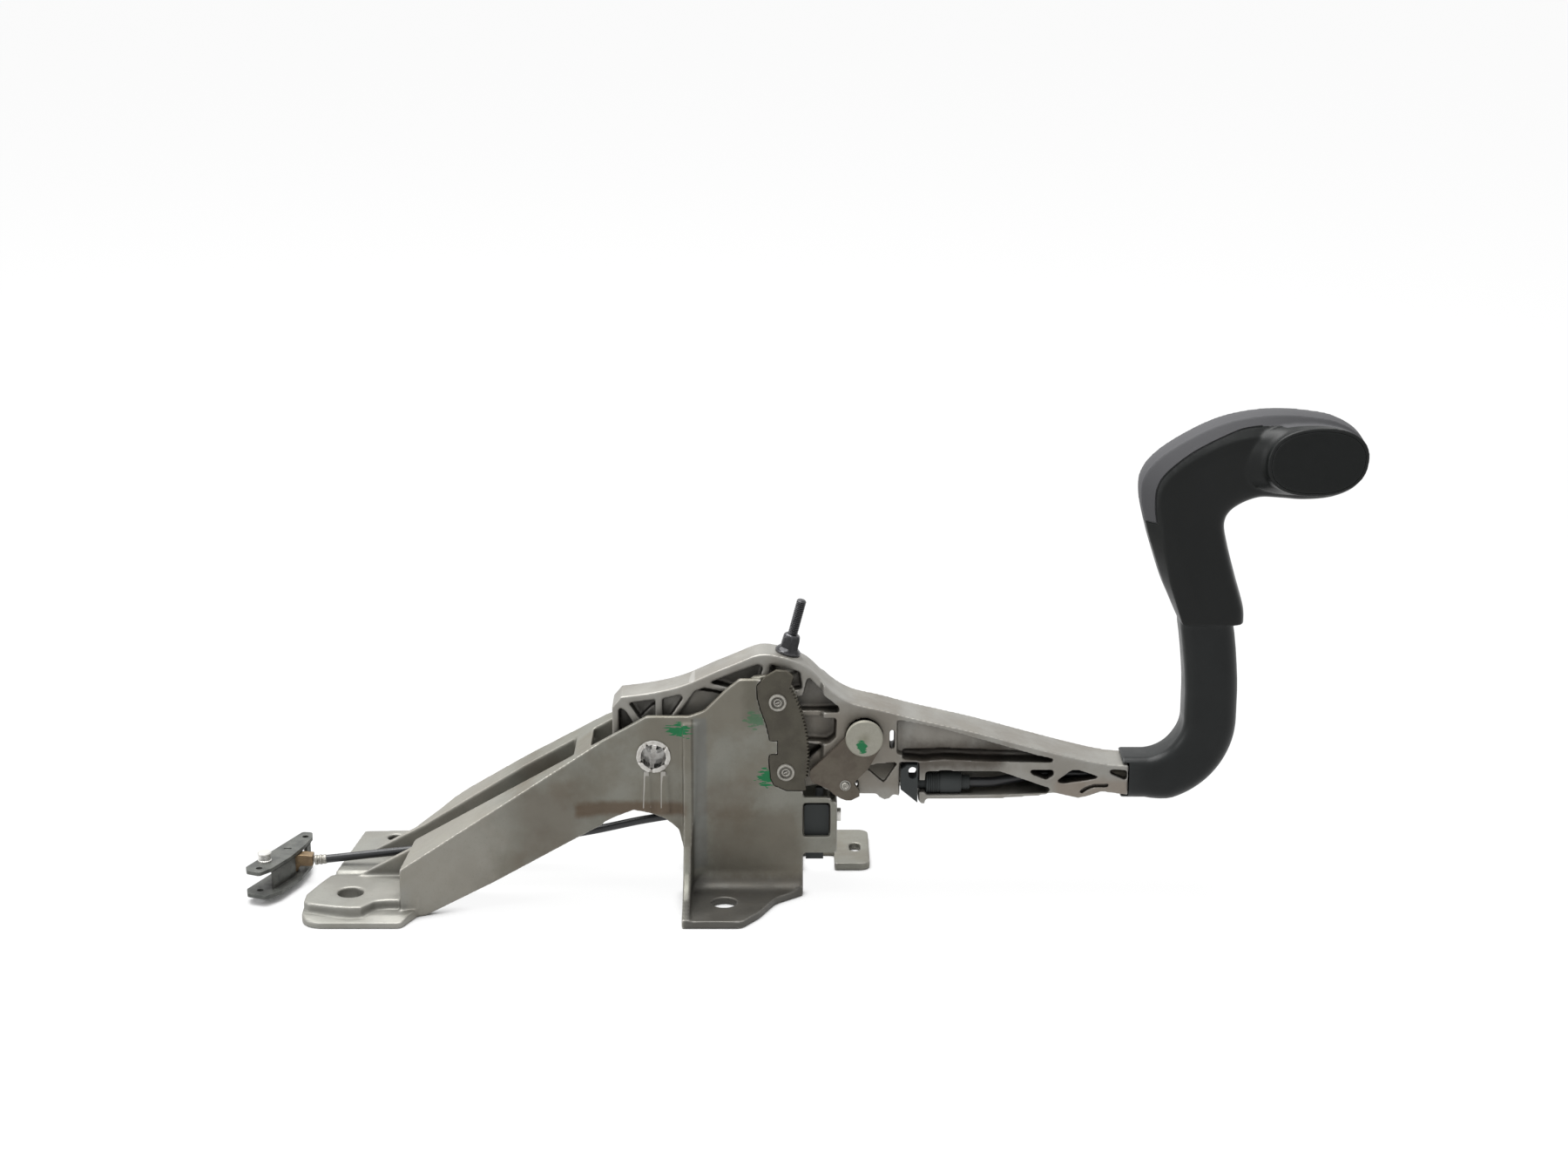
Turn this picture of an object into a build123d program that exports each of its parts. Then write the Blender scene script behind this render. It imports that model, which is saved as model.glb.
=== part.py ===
"""Parking brake lever: cast bracket, cast lever with ratchet, goose-neck handle, cable and equaliser.

Millimetres. +X is the front of the car, +Z is up, and -Y is the side that the ratchet is on. The origin is under the
middle of the assembly, on the plane of the feet. Profiles are drawn from the lever's pivot line, so their x is
measured from the pivot and their z from the feet.
"""

import math
import os

from build123d import *

os.makedirs("parts", exist_ok=True)

# Main places, measured from the pivot line and from the plane of the feet.
PIVOT_X = -73.8
PIVOT_Z = 74.5
FOOT_Y = 37.5
FOOT_EDGE_Y = 62.5
FOOT_THICKNESS = 4.0

# Bracket walls.
WALL_OUTER_Y = 16.5
WALL_INNER_Y = 13.0
WALL = WALL_OUTER_Y - WALL_INNER_Y
RIB = 3.0

# Holes in the feet.
NEAR_REAR_HOLE = (-152.7, -FOOT_Y, 6.5)
NEAR_FRONT_HOLE = (35.8, -FOOT_Y, 6.5)
FAR_REAR_HOLE = (-139.2, FOOT_Y, 4.0)
FAR_FRONT_SLOT = (103.3, FOOT_Y, 5.7, 11.0)

# Pivot.
TUBE_RADIUS = 8.0
TUBE_BORE = 6.25
STAKE_RADIUS = 8.6
BUSH_RADIUS = 9.6
RUNNING = 0.05
HUB_RADIUS = 14.0

# Lever.
LEVER_REAR_HALF = 9.6
LEVER_FRONT_HALF = 12.6
LEVER_END_HALF = 11.6
WEB_NEAR_Y = -3.0

# Ratchet.
SECTOR_TIP = 79.0
SECTOR_ROOT = 77.5
TOOTH_PITCH = 1.4
FIRST_TOOTH = -8.0
TOOTH_COUNT = 26
SECTOR_NEAR_Y = -16.5
SECTOR_FAR_Y = -13.5
RIVET_PLACES = [(62.8, 103.3), (66.9, 66.0)]

# Pawl and release cable.
PAWL_PIN = (106.5, 84.5)
PAWL_PIN_RADIUS = 4.0
PAWL_HEAD_RADIUS = 9.5
RELEASE_PIN = (97.0, 58.8)
RELEASE_PIN_RADIUS = 2.2
RELEASE_Y = -6.5
RELEASE_Z = 57.0
RELEASE_WIRE_RADIUS = 0.9
RELEASE_TRAVEL = 3.2

# Brake cable.
CABLE_RADIUS = 2.1
GUIDE_CENTRE = (22.4, 68.9)
GUIDE_RADIUS = 30.0
GUIDE_FLANGE = 37.0
CABLE_SLOPE = 7.8
ROD_ANGLE = 14.56
ROD_RADIUS = 2.5

# Handle.
STALK_Z = 59.2
STALK_X = 281.8
STALK_BEND = 32.0
STALK_LEAN = 60.0
CORE_RADIUS = 7.0
CORE_BORE = 4.5
JACKET_RADIUS = 2.5
SLEEVE_WIDTH = 25.0
SLEEVE_DEPTH = 27.0
GRIP_HALF = 15.0
GRIP_WALL = 3.0
BUTTON_CENTRE = (327.0, 229.5)
BUTTON_RADII = (21.9, 14.4)
KNOB_RADII = (25.5, 17.8)
KNOB_FACE_Y = -24.0
CRANK_Y = 5.5
CRANK_Z = 222.0

# Equaliser.
EQUALISER_X = -190.0
EQUALISER_YAW = 66.0
EQUALISER_LOW = 4.0
EQUALISER_HIGH = 18.0


def side(y):
    """Plane of a side view at this y: local x runs forward from the pivot, local y is the height."""
    return Plane(origin=(PIVOT_X, y, 0), x_dir=(1, 0, 0), z_dir=(0, -1, 0))


def plan(z):
    """Plane of a top view at this height: local x runs forward from the pivot."""
    return Plane(origin=(PIVOT_X, 0, z), x_dir=(1, 0, 0), z_dir=(0, 0, 1))


def across(x):
    """Plane of a cross-section at this distance from the pivot: local x is y, local y is the height."""
    return Plane(origin=(PIVOT_X + x, 0, 0), x_dir=(0, 1, 0), z_dir=(1, 0, 0))


def on_circle(centre, radius, degrees):
    """Point at this angle on a circle of a side view."""
    angle = math.radians(degrees)
    return (centre[0] + radius * math.cos(angle), centre[1] + radius * math.sin(angle))


def finish(builder, name):
    """Label a finished piece and write it."""
    builder.part.label = name
    export_step(builder.part, f"parts/{name}.step")


PIVOT = (0.0, PIVOT_Z)

# Side profiles of the bracket's walls. The rear stretch slopes down to the rear plate.
NEAR_SLOPE = [(-131, 23.4), (-26, 82.5), (-26, 37.5), (-40.6, 31.2), (-80, 13.6), (-114, 0), (-131, 0)]
FAR_SLOPE = [(-131, 20), (-68, 59), (-26, 82.5), (-8, 92.9), (-8, 45), (-26, 37.5), (-40.6, 31.2), (-80, 13.6),
             (-114, 0), (-131, 0)]
NEAR_PANEL = [
    (-29, 80.8), (-3.2, 95.7), (18.2, 95.7), (25.7, 98.5), (36.3, 109.4), (43.7, 115.4), (56, 115.4),
    (66, 113), (73, 92), (74, 70), (75.7, 56), (75.7, 0), (15, 0), (15, 24.4), (12.4, 34.9), (6, 40.5),
    (-2.6, 43.9), (-10.5, 45.3), (-20, 41.5), (-29, 37),
]
FAR_PANEL = [
    (-29, 80.8), (-3.2, 95.7), (18.2, 95.7), (25.7, 98.5), (36.3, 109.4), (43.7, 115.4), (60, 115.4),
    (72, 96), (80, 60), (93, 50), (93, 14), (76, 12), (75.7, 0), (15, 0), (15, 24.4), (12.4, 34.9), (6, 40.5),
    (-2.6, 43.9), (-10.5, 45.3), (-20, 41.5), (-29, 37),
]

# The flared rear stretch of each side is a box section, open below: outer wall, sloping ledge and inner web.
NEAR_FLARE = [(-26, -WALL_OUTER_Y), (-126.4, -50), (-122.5, -WALL_INNER_Y), (-26, -WALL_INNER_Y)]
FAR_FLARE = [(-8, WALL_OUTER_Y), (-26, 26), (-70, 28.5), (-98, 31), (-106, 29.5), (-113, 24), (-124.5, 18),
             (-124.5, WALL_INNER_Y), (-8, WALL_INNER_Y)]
NEAR_HOLLOW = [(-38, -16.2), (-122, -44.7), (-119, -16), (-38, -16)]
FAR_HOLLOW = [(-14.5, 16.2), (-27, 22.6), (-70, 25.2), (-97, 27.7), (-104.5, 26.4), (-111, 21.4), (-121, 16.2)]
NEAR_HOLLOW_TOP = [(-133, 18.2), (-26, 78.5), (-26, -5), (-133, -5)]
FAR_HOLLOW_TOP = [(-133, 14.5), (-68, 54.6), (-26, 78.2), (-12, 86.2), (-12, -5), (-133, -5)]
WALL_TOP = 125.0

with BuildPart() as near_flare:
    with BuildSketch(plan(0)):
        Polygon(*NEAR_FLARE, align=None)
    extrude(amount=WALL_TOP)
    with BuildSketch(side(60)):
        Polygon(*NEAR_SLOPE, align=None)
    extrude(amount=120, mode=Mode.INTERSECT)

with BuildPart() as near_hollow:
    with BuildSketch(plan(-5)):
        Polygon(*NEAR_HOLLOW, align=None)
    extrude(amount=WALL_TOP)
    with BuildSketch(side(60)):
        Polygon(*NEAR_HOLLOW_TOP, align=None)
    extrude(amount=120, mode=Mode.INTERSECT)

with BuildPart() as far_flare:
    with BuildSketch(plan(0)):
        Polygon(*FAR_FLARE, align=None)
    extrude(amount=WALL_TOP)
    with BuildSketch(side(60)):
        Polygon(*FAR_SLOPE, align=None)
    extrude(amount=120, mode=Mode.INTERSECT)

with BuildPart() as far_hollow:
    with BuildSketch(plan(-5)):
        Polygon(*FAR_HOLLOW, align=None)
    extrude(amount=WALL_TOP)
    with BuildSketch(side(60)):
        Polygon(*FAR_HOLLOW_TOP, align=None)
    extrude(amount=120, mode=Mode.INTERSECT)

# Rear plate: a thin lower lip and a thicker pad above it, with both rear holes.
REAR_LIP = [(-175.4, -42), (-175.4, -FOOT_EDGE_Y), (-124.6, -FOOT_EDGE_Y), (-117, -45), (-112, 44), (-127, 48.3),
            (-156.5, 46.5), (-164.2, -10.4), (-169.5, -24)]
REAR_PAD = [(-174.8, -40), (-174.8, -48.9), (-172, -52.3), (-165.5, -54.3), (-158, -56.3), (-150.6, -57.5),
            (-145.1, -57), (-141.5, -52.5), (-139.1, -49.2), (-133.6, -47.8), (-117, -47.8), (-112, 44),
            (-127, 48.3), (-156.5, 46.5), (-164.2, -10.4), (-169.8, -24.8)]
LIP_CORNER = 11.0
PLATE_CORNER = 4.0
LIP_THICKNESS = 4.5
LIP_SLOPE = [(-FOOT_EDGE_Y - 1, 2.7), (-54.9, LIP_THICKNESS + 0.1), (-54.9, 8), (-FOOT_EDGE_Y - 1, 8)]
PAD_THICKNESS = 9.5
PAD_STEP_Y = (-14.5, -9.5)

# Front feet.
WALL_FRONT_X = 75.7
NEAR_FOOT = [(15, -13.5), (15, -FOOT_EDGE_Y), (45, -FOOT_EDGE_Y), (53.8, -49.6), (61.6, -31.8),
             (WALL_FRONT_X, -20), (WALL_FRONT_X, -13.5)]
FAR_FOOT = [(15, 13.5), (15, FOOT_EDGE_Y), (110.9, FOOT_EDGE_Y), (110.9, 14), (92.3, 14), (92.3, 34),
            (WALL_FRONT_X, 34), (WALL_FRONT_X, 13.5)]
FOOT_CORNER = 5.0
FOOT_CURVE = 12.0

# Gusset along the rear edge of each front leg, wide at the foot and thin at the top.
GUSSET = [(-13.5, 0), (-62.3, 0), (-62.3, 4.5), (-46, 8.5), (-32, 16.5), (-23.5, 29), (-20, 45), (-19, 70),
          (-18, 92), (-13.5, 95)]
GUSSET_X = (15.0, 19.0)

# Hollow fillets between the walls and the feet, and between the gussets and the walls.
FOOT_FILLET = 9.0
GUSSET_FILLET = 8.0


def hollow_corner(corner, reach_x, reach_y):
    """Square in a corner, less the circle whose quarter curves inward from wall to wall."""
    with Locations((corner[0] + reach_x / 2, corner[1] + reach_y / 2)):
        Rectangle(abs(reach_x), abs(reach_y))
    with Locations((corner[0] + reach_x, corner[1] + reach_y)):
        Circle(abs(reach_x), mode=Mode.SUBTRACT)


# Front wall, window bar and rail of the near side, and the triangular webs on the rear plate.
FRONT_WALL = (89.5, 93.0)
WINDOW_BAR = (49.0, 52.2)
WINDOW_RAIL = (21.8, 30.9)
FRONT_WALL_TOP = 50.0
PLATE_WEB = [(-153, 9), (-122, 25.6), (-122, 9)]
BRIDGE = [(-40.5, 74.3), (-31.5, 79.4), (-31.5, 74.2), (-40.5, 69.1)]
PIVOT_RIBS = [(-5.3, -1.3), (3.5, 7.9)]
SECTOR_BACKING = [(50, 116), (66, 117), (72, 108), (75, 90), (75.5, 62), (58, 58), (54, 84)]
SECTOR_BACKING_Y = -10.4

# Outline of the toothed plate, up to its teeth.
SECTOR_BACK = [
    (77.1, 56.2), (67.3, 56.2), (61, 59), (59.4, 62.5), (58.5, 72.5), (58.9, 75.3), (62.9, 75.3), (62.9, 82.8),
    (59.0, 82.8), (57.2, 91.2), (54.5, 99), (52.9, 105.1), (52.4, 112.0), (56.8, 116.7), (62.0, 119.9),
    (67.5, 119.4), (70.6, 116.6),
]


def sector_teeth():
    """Saw teeth along the plate's front edge, from the lowest to the highest."""
    points = []
    for index in range(TOOTH_COUNT):
        start = FIRST_TOOTH + index * TOOTH_PITCH
        points.append(on_circle(PIVOT, SECTOR_TIP, start))
        points.append(on_circle(PIVOT, SECTOR_ROOT, start + 0.35 * TOOTH_PITCH))
    return points


SECTOR_OUTLINE = [on_circle(PIVOT, SECTOR_ROOT, FIRST_TOOTH - 1)] + sector_teeth() + SECTOR_BACK[::-1]

with BuildPart() as foot_fillets:
    with BuildSketch(across(GUSSET_X[0])):
        hollow_corner((-WALL_OUTER_Y, FOOT_THICKNESS), -FOOT_FILLET, FOOT_FILLET)
        mirror(about=Plane.YZ)
    extrude(amount=WALL_FRONT_X - GUSSET_X[0])
    with BuildSketch(plan(0)):
        Polygon(*NEAR_FOOT, align=None)
        Polygon(*FAR_FOOT, align=None)
    extrude(amount=WALL_TOP, mode=Mode.INTERSECT)

with BuildPart() as gusset_fillets:
    with BuildSketch(plan(FOOT_THICKNESS)):
        hollow_corner((GUSSET_X[1], -WALL_OUTER_Y), GUSSET_FILLET, -GUSSET_FILLET)
        mirror(about=Plane.XZ)
    extrude(amount=WALL_TOP - FOOT_THICKNESS)
    with BuildSketch(across(GUSSET_X[0])):
        Polygon(*GUSSET, align=None)
        mirror(about=Plane.YZ)
    extrude(amount=20, mode=Mode.INTERSECT)

with BuildPart() as base_bracket:
    with BuildSketch(plan(0)) as lip_plan:
        Polygon(*REAR_LIP, align=None)
        fillet(lip_plan.vertices().group_by(Axis.Y)[0].sort_by(Axis.X)[0], LIP_CORNER)
        fillet(lip_plan.vertices().group_by(Axis.Y)[0].sort_by(Axis.X)[-1], PLATE_CORNER)
    extrude(amount=LIP_THICKNESS)
    with BuildSketch(across(-180)):
        Polygon(*LIP_SLOPE, align=None)
    extrude(amount=70, mode=Mode.SUBTRACT)
    with BuildSketch(plan(LIP_THICKNESS)):
        Polygon(*REAR_PAD, align=None)
    extrude(amount=PAD_THICKNESS - LIP_THICKNESS)
    add(near_flare.part)
    add(far_flare.part)
    with BuildSketch(side(-WALL_INNER_Y)):
        Polygon(*NEAR_PANEL, align=None)
    extrude(amount=WALL)
    with BuildSketch(side(WALL_OUTER_Y)):
        Polygon(*FAR_PANEL, align=None)
    extrude(amount=WALL)
    with BuildSketch(plan(0)) as near_foot_plan:
        Polygon(*NEAR_FOOT, align=None)
        fillet(near_foot_plan.vertices().filter_by_position(Axis.Y, -50, -30), FOOT_CURVE)
        fillet(near_foot_plan.vertices().group_by(Axis.Y)[0].sort_by(Axis.X)[-1], FOOT_CORNER)
    extrude(amount=FOOT_THICKNESS)
    with BuildSketch(plan(0)) as far_foot_plan:
        Polygon(*FAR_FOOT, align=None)
        fillet(far_foot_plan.vertices().group_by(Axis.X)[-1], FOOT_CORNER)
    extrude(amount=FOOT_THICKNESS)
    with BuildSketch(across(GUSSET_X[0])):
        Polygon(*GUSSET, align=None)
        mirror(about=Plane.YZ)
    extrude(amount=GUSSET_X[1] - GUSSET_X[0])
    add(foot_fillets.part)
    add(gusset_fillets.part)
    with BuildSketch(side(-WALL_INNER_Y)):
        with Locations((82.6, sum(WINDOW_BAR) / 2)):
            Rectangle(13.9, WINDOW_BAR[1] - WINDOW_BAR[0])
        with Locations((84.3, sum(WINDOW_RAIL) / 2)):
            Rectangle(17.4, WINDOW_RAIL[1] - WINDOW_RAIL[0])
    extrude(amount=WALL)
    with BuildSketch(across(FRONT_WALL[0])):
        with Locations((0, (WINDOW_RAIL[0] + FRONT_WALL_TOP) / 2)):
            Rectangle(2 * WALL_OUTER_Y, FRONT_WALL_TOP - WINDOW_RAIL[0])
    extrude(amount=FRONT_WALL[1] - FRONT_WALL[0])
    with BuildSketch(side(-WALL_INNER_Y)):
        Polygon(*PLATE_WEB, align=None)
    extrude(amount=RIB)
    with BuildSketch(side(WALL_INNER_Y + RIB)):
        Polygon(*PLATE_WEB, align=None)
    extrude(amount=RIB)
    with BuildSketch(side(WALL_INNER_Y)):
        Polygon(*BRIDGE, align=None)
    extrude(amount=2 * WALL_INNER_Y)
    for rib_start, rib_end in PIVOT_RIBS:
        with BuildSketch(side(-WALL_OUTER_Y + 0.5)):
            with Locations(((rib_start + rib_end) / 2, 54.5)):
                Trapezoid(rib_end - rib_start, 20, 88)
        extrude(amount=1.3)
    with BuildSketch(side(SECTOR_BACKING_Y)):
        Polygon(*SECTOR_BACKING, align=None)
    extrude(amount=-SECTOR_FAR_Y + SECTOR_BACKING_Y)
    add(near_hollow.part, mode=Mode.SUBTRACT)
    add(far_hollow.part, mode=Mode.SUBTRACT)
    with BuildSketch(side(SECTOR_FAR_Y)):
        Polygon(*SECTOR_OUTLINE, align=None)
        offset(amount=0.2)
    extrude(amount=20, mode=Mode.SUBTRACT)
    with BuildSketch(plan(PAD_THICKNESS - 1.2)):
        with Locations((-160, sum(PAD_STEP_Y) / 2)):
            Rectangle(60, PAD_STEP_Y[1] - PAD_STEP_Y[0])
    extrude(amount=5, mode=Mode.SUBTRACT)
    with BuildSketch(plan(-1)):
        for hole_x, hole_y, hole_radius in (NEAR_REAR_HOLE, NEAR_FRONT_HOLE, FAR_REAR_HOLE):
            with Locations((hole_x, hole_y)):
                Circle(hole_radius)
        with Locations(FAR_FRONT_SLOT[:2]):
            SlotOverall(FAR_FRONT_SLOT[3], FAR_FRONT_SLOT[2], rotation=90)
    extrude(amount=12, mode=Mode.SUBTRACT)
    with BuildSketch(side(30)):
        with Locations(PIVOT):
            Circle(TUBE_RADIUS)
    extrude(amount=60, mode=Mode.SUBTRACT)
    with BuildSketch(side(0)):
        with Locations(*RIVET_PLACES):
            Circle(2.5)
    extrude(amount=20, mode=Mode.SUBTRACT)
finish(base_bracket, "base_bracket")

# Steel tube through both walls, staked over at its ends.
with BuildPart() as pivot_tube:
    with BuildSketch(side(WALL_OUTER_Y)):
        with Locations(PIVOT):
            Circle(TUBE_RADIUS)
    extrude(amount=2 * WALL_OUTER_Y)
    with BuildSketch(side(WALL_OUTER_Y + 1), side(-WALL_OUTER_Y)):
        with Locations(PIVOT):
            Circle(STAKE_RADIUS)
    extrude(amount=1)
    with BuildSketch(side(WALL_OUTER_Y + 5)):
        with Locations(PIVOT):
            Circle(TUBE_BORE)
    extrude(amount=2 * WALL_OUTER_Y + 10, mode=Mode.SUBTRACT)
finish(pivot_tube, "pivot_tube")

# Toothed plate set flush in the near wall.
with BuildPart() as ratchet_sector:
    with BuildSketch(side(SECTOR_FAR_Y)):
        Polygon(*SECTOR_OUTLINE, align=None)
        with Locations(*RIVET_PLACES):
            Circle(2.5, mode=Mode.SUBTRACT)
    extrude(amount=SECTOR_FAR_Y - SECTOR_NEAR_Y)
finish(ratchet_sector, "ratchet_sector")

with BuildPart() as sector_rivets:
    with BuildSketch(side(SECTOR_BACKING_Y)):
        with Locations(*RIVET_PLACES):
            Circle(2.5)
    extrude(amount=SECTOR_BACKING_Y - SECTOR_NEAR_Y)
    with BuildSketch(side(SECTOR_NEAR_Y)):
        with Locations(*RIVET_PLACES):
            Circle(4.5)
    extrude(amount=1.8)
    chamfer(sector_rivets.faces().sort_by(Axis.Y)[:2].edges(), 0.6)
finish(sector_rivets, "sector_rivets")

# Rubber pad on the front wall, just under the lever.
with BuildPart() as lever_stop_bumper:
    with BuildSketch(plan(FRONT_WALL_TOP)):
        with Locations((sum(FRONT_WALL) / 2, 0)):
            RectangleRounded(3.2, 14, 1)
    extrude(amount=2.2)
finish(lever_stop_bumper, "lever_stop_bumper")

# Warning switch in the front window: body, plunger, terminals and screw.
with BuildPart() as switch_body:
    with BuildSketch(side(-4)):
        with Locations((82.6, 38.5)):
            RectangleRounded(12.6, 17, 1.5)
    extrude(amount=8.6)
    with BuildSketch(side(-3)):
        with Locations((81.6, 24.4)):
            Rectangle(9, 16)
    extrude(amount=7)
    with BuildSketch(plan(16)):
        with Locations((81.6, -6.5)):
            Rectangle(6.6, 4.6)
    extrude(amount=5.5, mode=Mode.SUBTRACT)
    with BuildSketch(plan(40)):
        with Locations((84, -8.3)):
            Circle(2.0)
    extrude(amount=12, mode=Mode.SUBTRACT)
finish(switch_body, "switch_body")

with BuildPart() as switch_plunger:
    with BuildSketch(plan(42)):
        with Locations((84, -8.3)):
            Circle(1.95)
    extrude(amount=13.0)
finish(switch_plunger, "switch_plunger")

with BuildPart() as switch_terminals:
    with BuildSketch(plan(16.9)):
        with Locations((79.9, -6.5), (83.3, -6.5)):
            Rectangle(0.8, 3)
    extrude(amount=4.6)
finish(switch_terminals, "switch_terminals")

with BuildPart() as switch_screw:
    with BuildSketch(across(FRONT_WALL[1])):
        with Locations((-8, 40)):
            Circle(3.4)
    extrude(amount=2)
    with BuildSketch(across(FRONT_WALL[1] + 1)):
        with Locations((-8, 40)):
            Rectangle(5, 1)
    extrude(amount=3, mode=Mode.SUBTRACT)
finish(switch_screw, "switch_screw")

# Lever casting. Its outline, from the rear end over the top to the handle socket, and back along the bottom.
LEVER_TOP = [
    (-16.5, 103.8), (-2, 105.7), (17, 110.6), (31, 117), (44, 122.5), (55, 126.3), (62, 125.6), (78, 119.3),
    (88, 109.4), (101, 101.2), (112, 98.5), (125, 95), (160, 86.5), (187, 79), (214, 71.8), (230, 68.4), (241, 67.8),
]
LEVER_BOTTOM = [
    (241, 67.8), (241, 51.7),
    (237, 52.2), (227.2, 53.6), (220.4, 51.2), (215.6, 50.2), (203, 53.2), (195.1, 51.7), (178, 50.4),
    (150, 49.8), (138, 49.8), (137.5, 47.6), (135.9, 47.1), (134.2, 49.2), (121.5, 52.4), (119.6, 49.9),
    (117, 49.6), (114.4, 51), (113.2, 52.6), (92, 52.8), (84, 56.5), (73, 55),
    (62, 48), (46, 38), (10, 52), (-8, 64), (-20.9, 68), (-20.9, 98.5), (-16.5, 103.8),
]
LEVER_PLAN = [
    (-22, -LEVER_REAR_HALF), (84.5, -LEVER_REAR_HALF), (86, -LEVER_FRONT_HALF), (200, -LEVER_FRONT_HALF),
    (242, -LEVER_END_HALF), (242, LEVER_END_HALF), (200, LEVER_FRONT_HALF), (86, LEVER_FRONT_HALF),
    (84.5, LEVER_REAR_HALF), (-22, LEVER_REAR_HALF),
]
# Pockets between the ribs of the near face, rear to front.
NEAR_POCKETS = [
    [(-17.5, 86), (-17.5, 98.5), (-14, 96), (-9.5, 88.5), (-9.5, 84), (-13, 80)],
    [(-12.5, 100.5), (1, 102.3), (1, 90), (-5, 89)],
    [(4.5, 102.6), (13.5, 104.8), (15, 103), (6.5, 90), (4.5, 90)],
    [(9.5, 89.5), (21, 106.8), (26, 108.6), (44, 104.6), (44, 89)],
    [(28, 111.2), (53, 121), (55.5, 119.5), (52.5, 107.5), (46, 106.8)],
    [(59, 121), (74, 117), (75, 108), (66, 106), (58, 112)],
    [(78, 114.6), (86, 105.5), (93.5, 99.5), (94, 96.5), (71, 96.5), (71, 103), (75.5, 104.5)],
    [(71, 93.5), (92.5, 93.5), (92, 83), (88.2, 79.6), (71, 80.6)],
    [(71, 79), (86.4, 78), (79.2, 71.6), (75, 67), (71, 67)],
]
# Long recess between the upper web and the bottom rail, and the three holes of the truss end.
FRONT_RECESS = [(126, 74.4), (137, 74.8), (148, 75), (175, 74), (197, 72.9), (202.3, 71.4), (202.9, 69.7),
                (168.4, 70.3), (147, 71.4), (137, 70.4), (126, 71.4)]
SHALLOW_RECESS = [(123.2, 92.6), (143.8, 88.4), (170.1, 80.7), (198.4, 72.2), (175, 73.2), (148, 74.2), (137, 74),
                  (127, 73.6), (123.2, 74.4)]
SHALLOW_RECESS_Y = -6.5
TRUSS_HOLES = [
    [(190.6, 65.8), (202.8, 65.4), (202.8, 62.6), (199.2, 60.4), (191.8, 63.3)],
    [(204.2, 59.2), (212, 65.2), (216, 65.2), (227, 61.3), (219.5, 59.8), (208, 58.2)],
    [(230.4, 65.3), (240.2, 65), (240.2, 59.5), (232.5, 62.9)],
]
LIP_GROOVE_Y = -9.2
LIP_GROOVE = [(215.6, 53.4), (219.3, 56.2), (223.2, 57.6), (237.8, 57.8), (237.8, 56.2), (223.6, 56),
              (220.3, 54.8), (217.4, 52.6)]
CABLE_BAY = [(137.8, 64.6), (146, 65.2), (176, 64.6), (201, 55.6), (201, 53.4), (178, 52.4), (137.8, 52)]
FERRULE_RADIUS = 5.6
V_NOTCH = [(106.9, 67.4), (113.6, 69), (123.8, 69.8), (116.6, 58.9)]
SIGHT_SLOT = [(119.5, 87), (121.8, 87), (121.8, 77), (119.5, 77)]
FAR_POCKETS = [
    [(-17.5, 72), (-17.5, 99), (12, 104.5), (12, 92), (-12, 86)],
    [(16, 105.5), (44, 118), (54, 121.5), (54, 92), (20, 88)],
    [(58, 121), (76, 115.5), (84, 106.5), (84, 62), (58, 72)],
    [(88, 103.5), (101, 95.5), (125, 90), (125, 70), (88, 70)],
    [(129, 89.2), (160, 82), (187, 74.8), (202, 70.5), (202, 66), (129, 68)],
]
# Opening behind the stop block's eye.
EYE_WINDOW = [(127.4, 54), (134, 54), (134, 67.2), (127.4, 67.2)]
ROD_DIRECTION = (math.sin(math.radians(ROD_ANGLE)), math.cos(math.radians(ROD_ANGLE)))
ROD_FOOT = on_circle(GUIDE_CENTRE, GUIDE_RADIUS, -ROD_ANGLE)
REAR_TANGENT = on_circle(GUIDE_CENTRE, GUIDE_RADIUS, 270 + CABLE_SLOPE)


def along_rod(distance, offset=0.0):
    """Point of the side view this far up the rod line, and this far to its front."""
    return (
        ROD_FOOT[0] + distance * ROD_DIRECTION[0] + offset * ROD_DIRECTION[1],
        ROD_FOOT[1] + distance * ROD_DIRECTION[1] - offset * ROD_DIRECTION[0],
    )


SEAT = 65.0
ROD_TOP = 94.0
ROD_START = 20.0
ROD_PLANE = Plane(
    origin=(PIVOT_X + ROD_FOOT[0], 0, ROD_FOOT[1]),
    x_dir=(0, 1, 0),
    z_dir=(ROD_DIRECTION[0], 0, ROD_DIRECTION[1]),
)
# The cable swings rearward between the guide's cheeks, so the lever is cut back there.
SWING_CUT = [REAR_TANGENT, (70, 30), (-30, 20), (-30, 70), (-2, 58), (16, 52), (27.5, 41.6)]
KNUCKLE_GAP = 0.4

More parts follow.
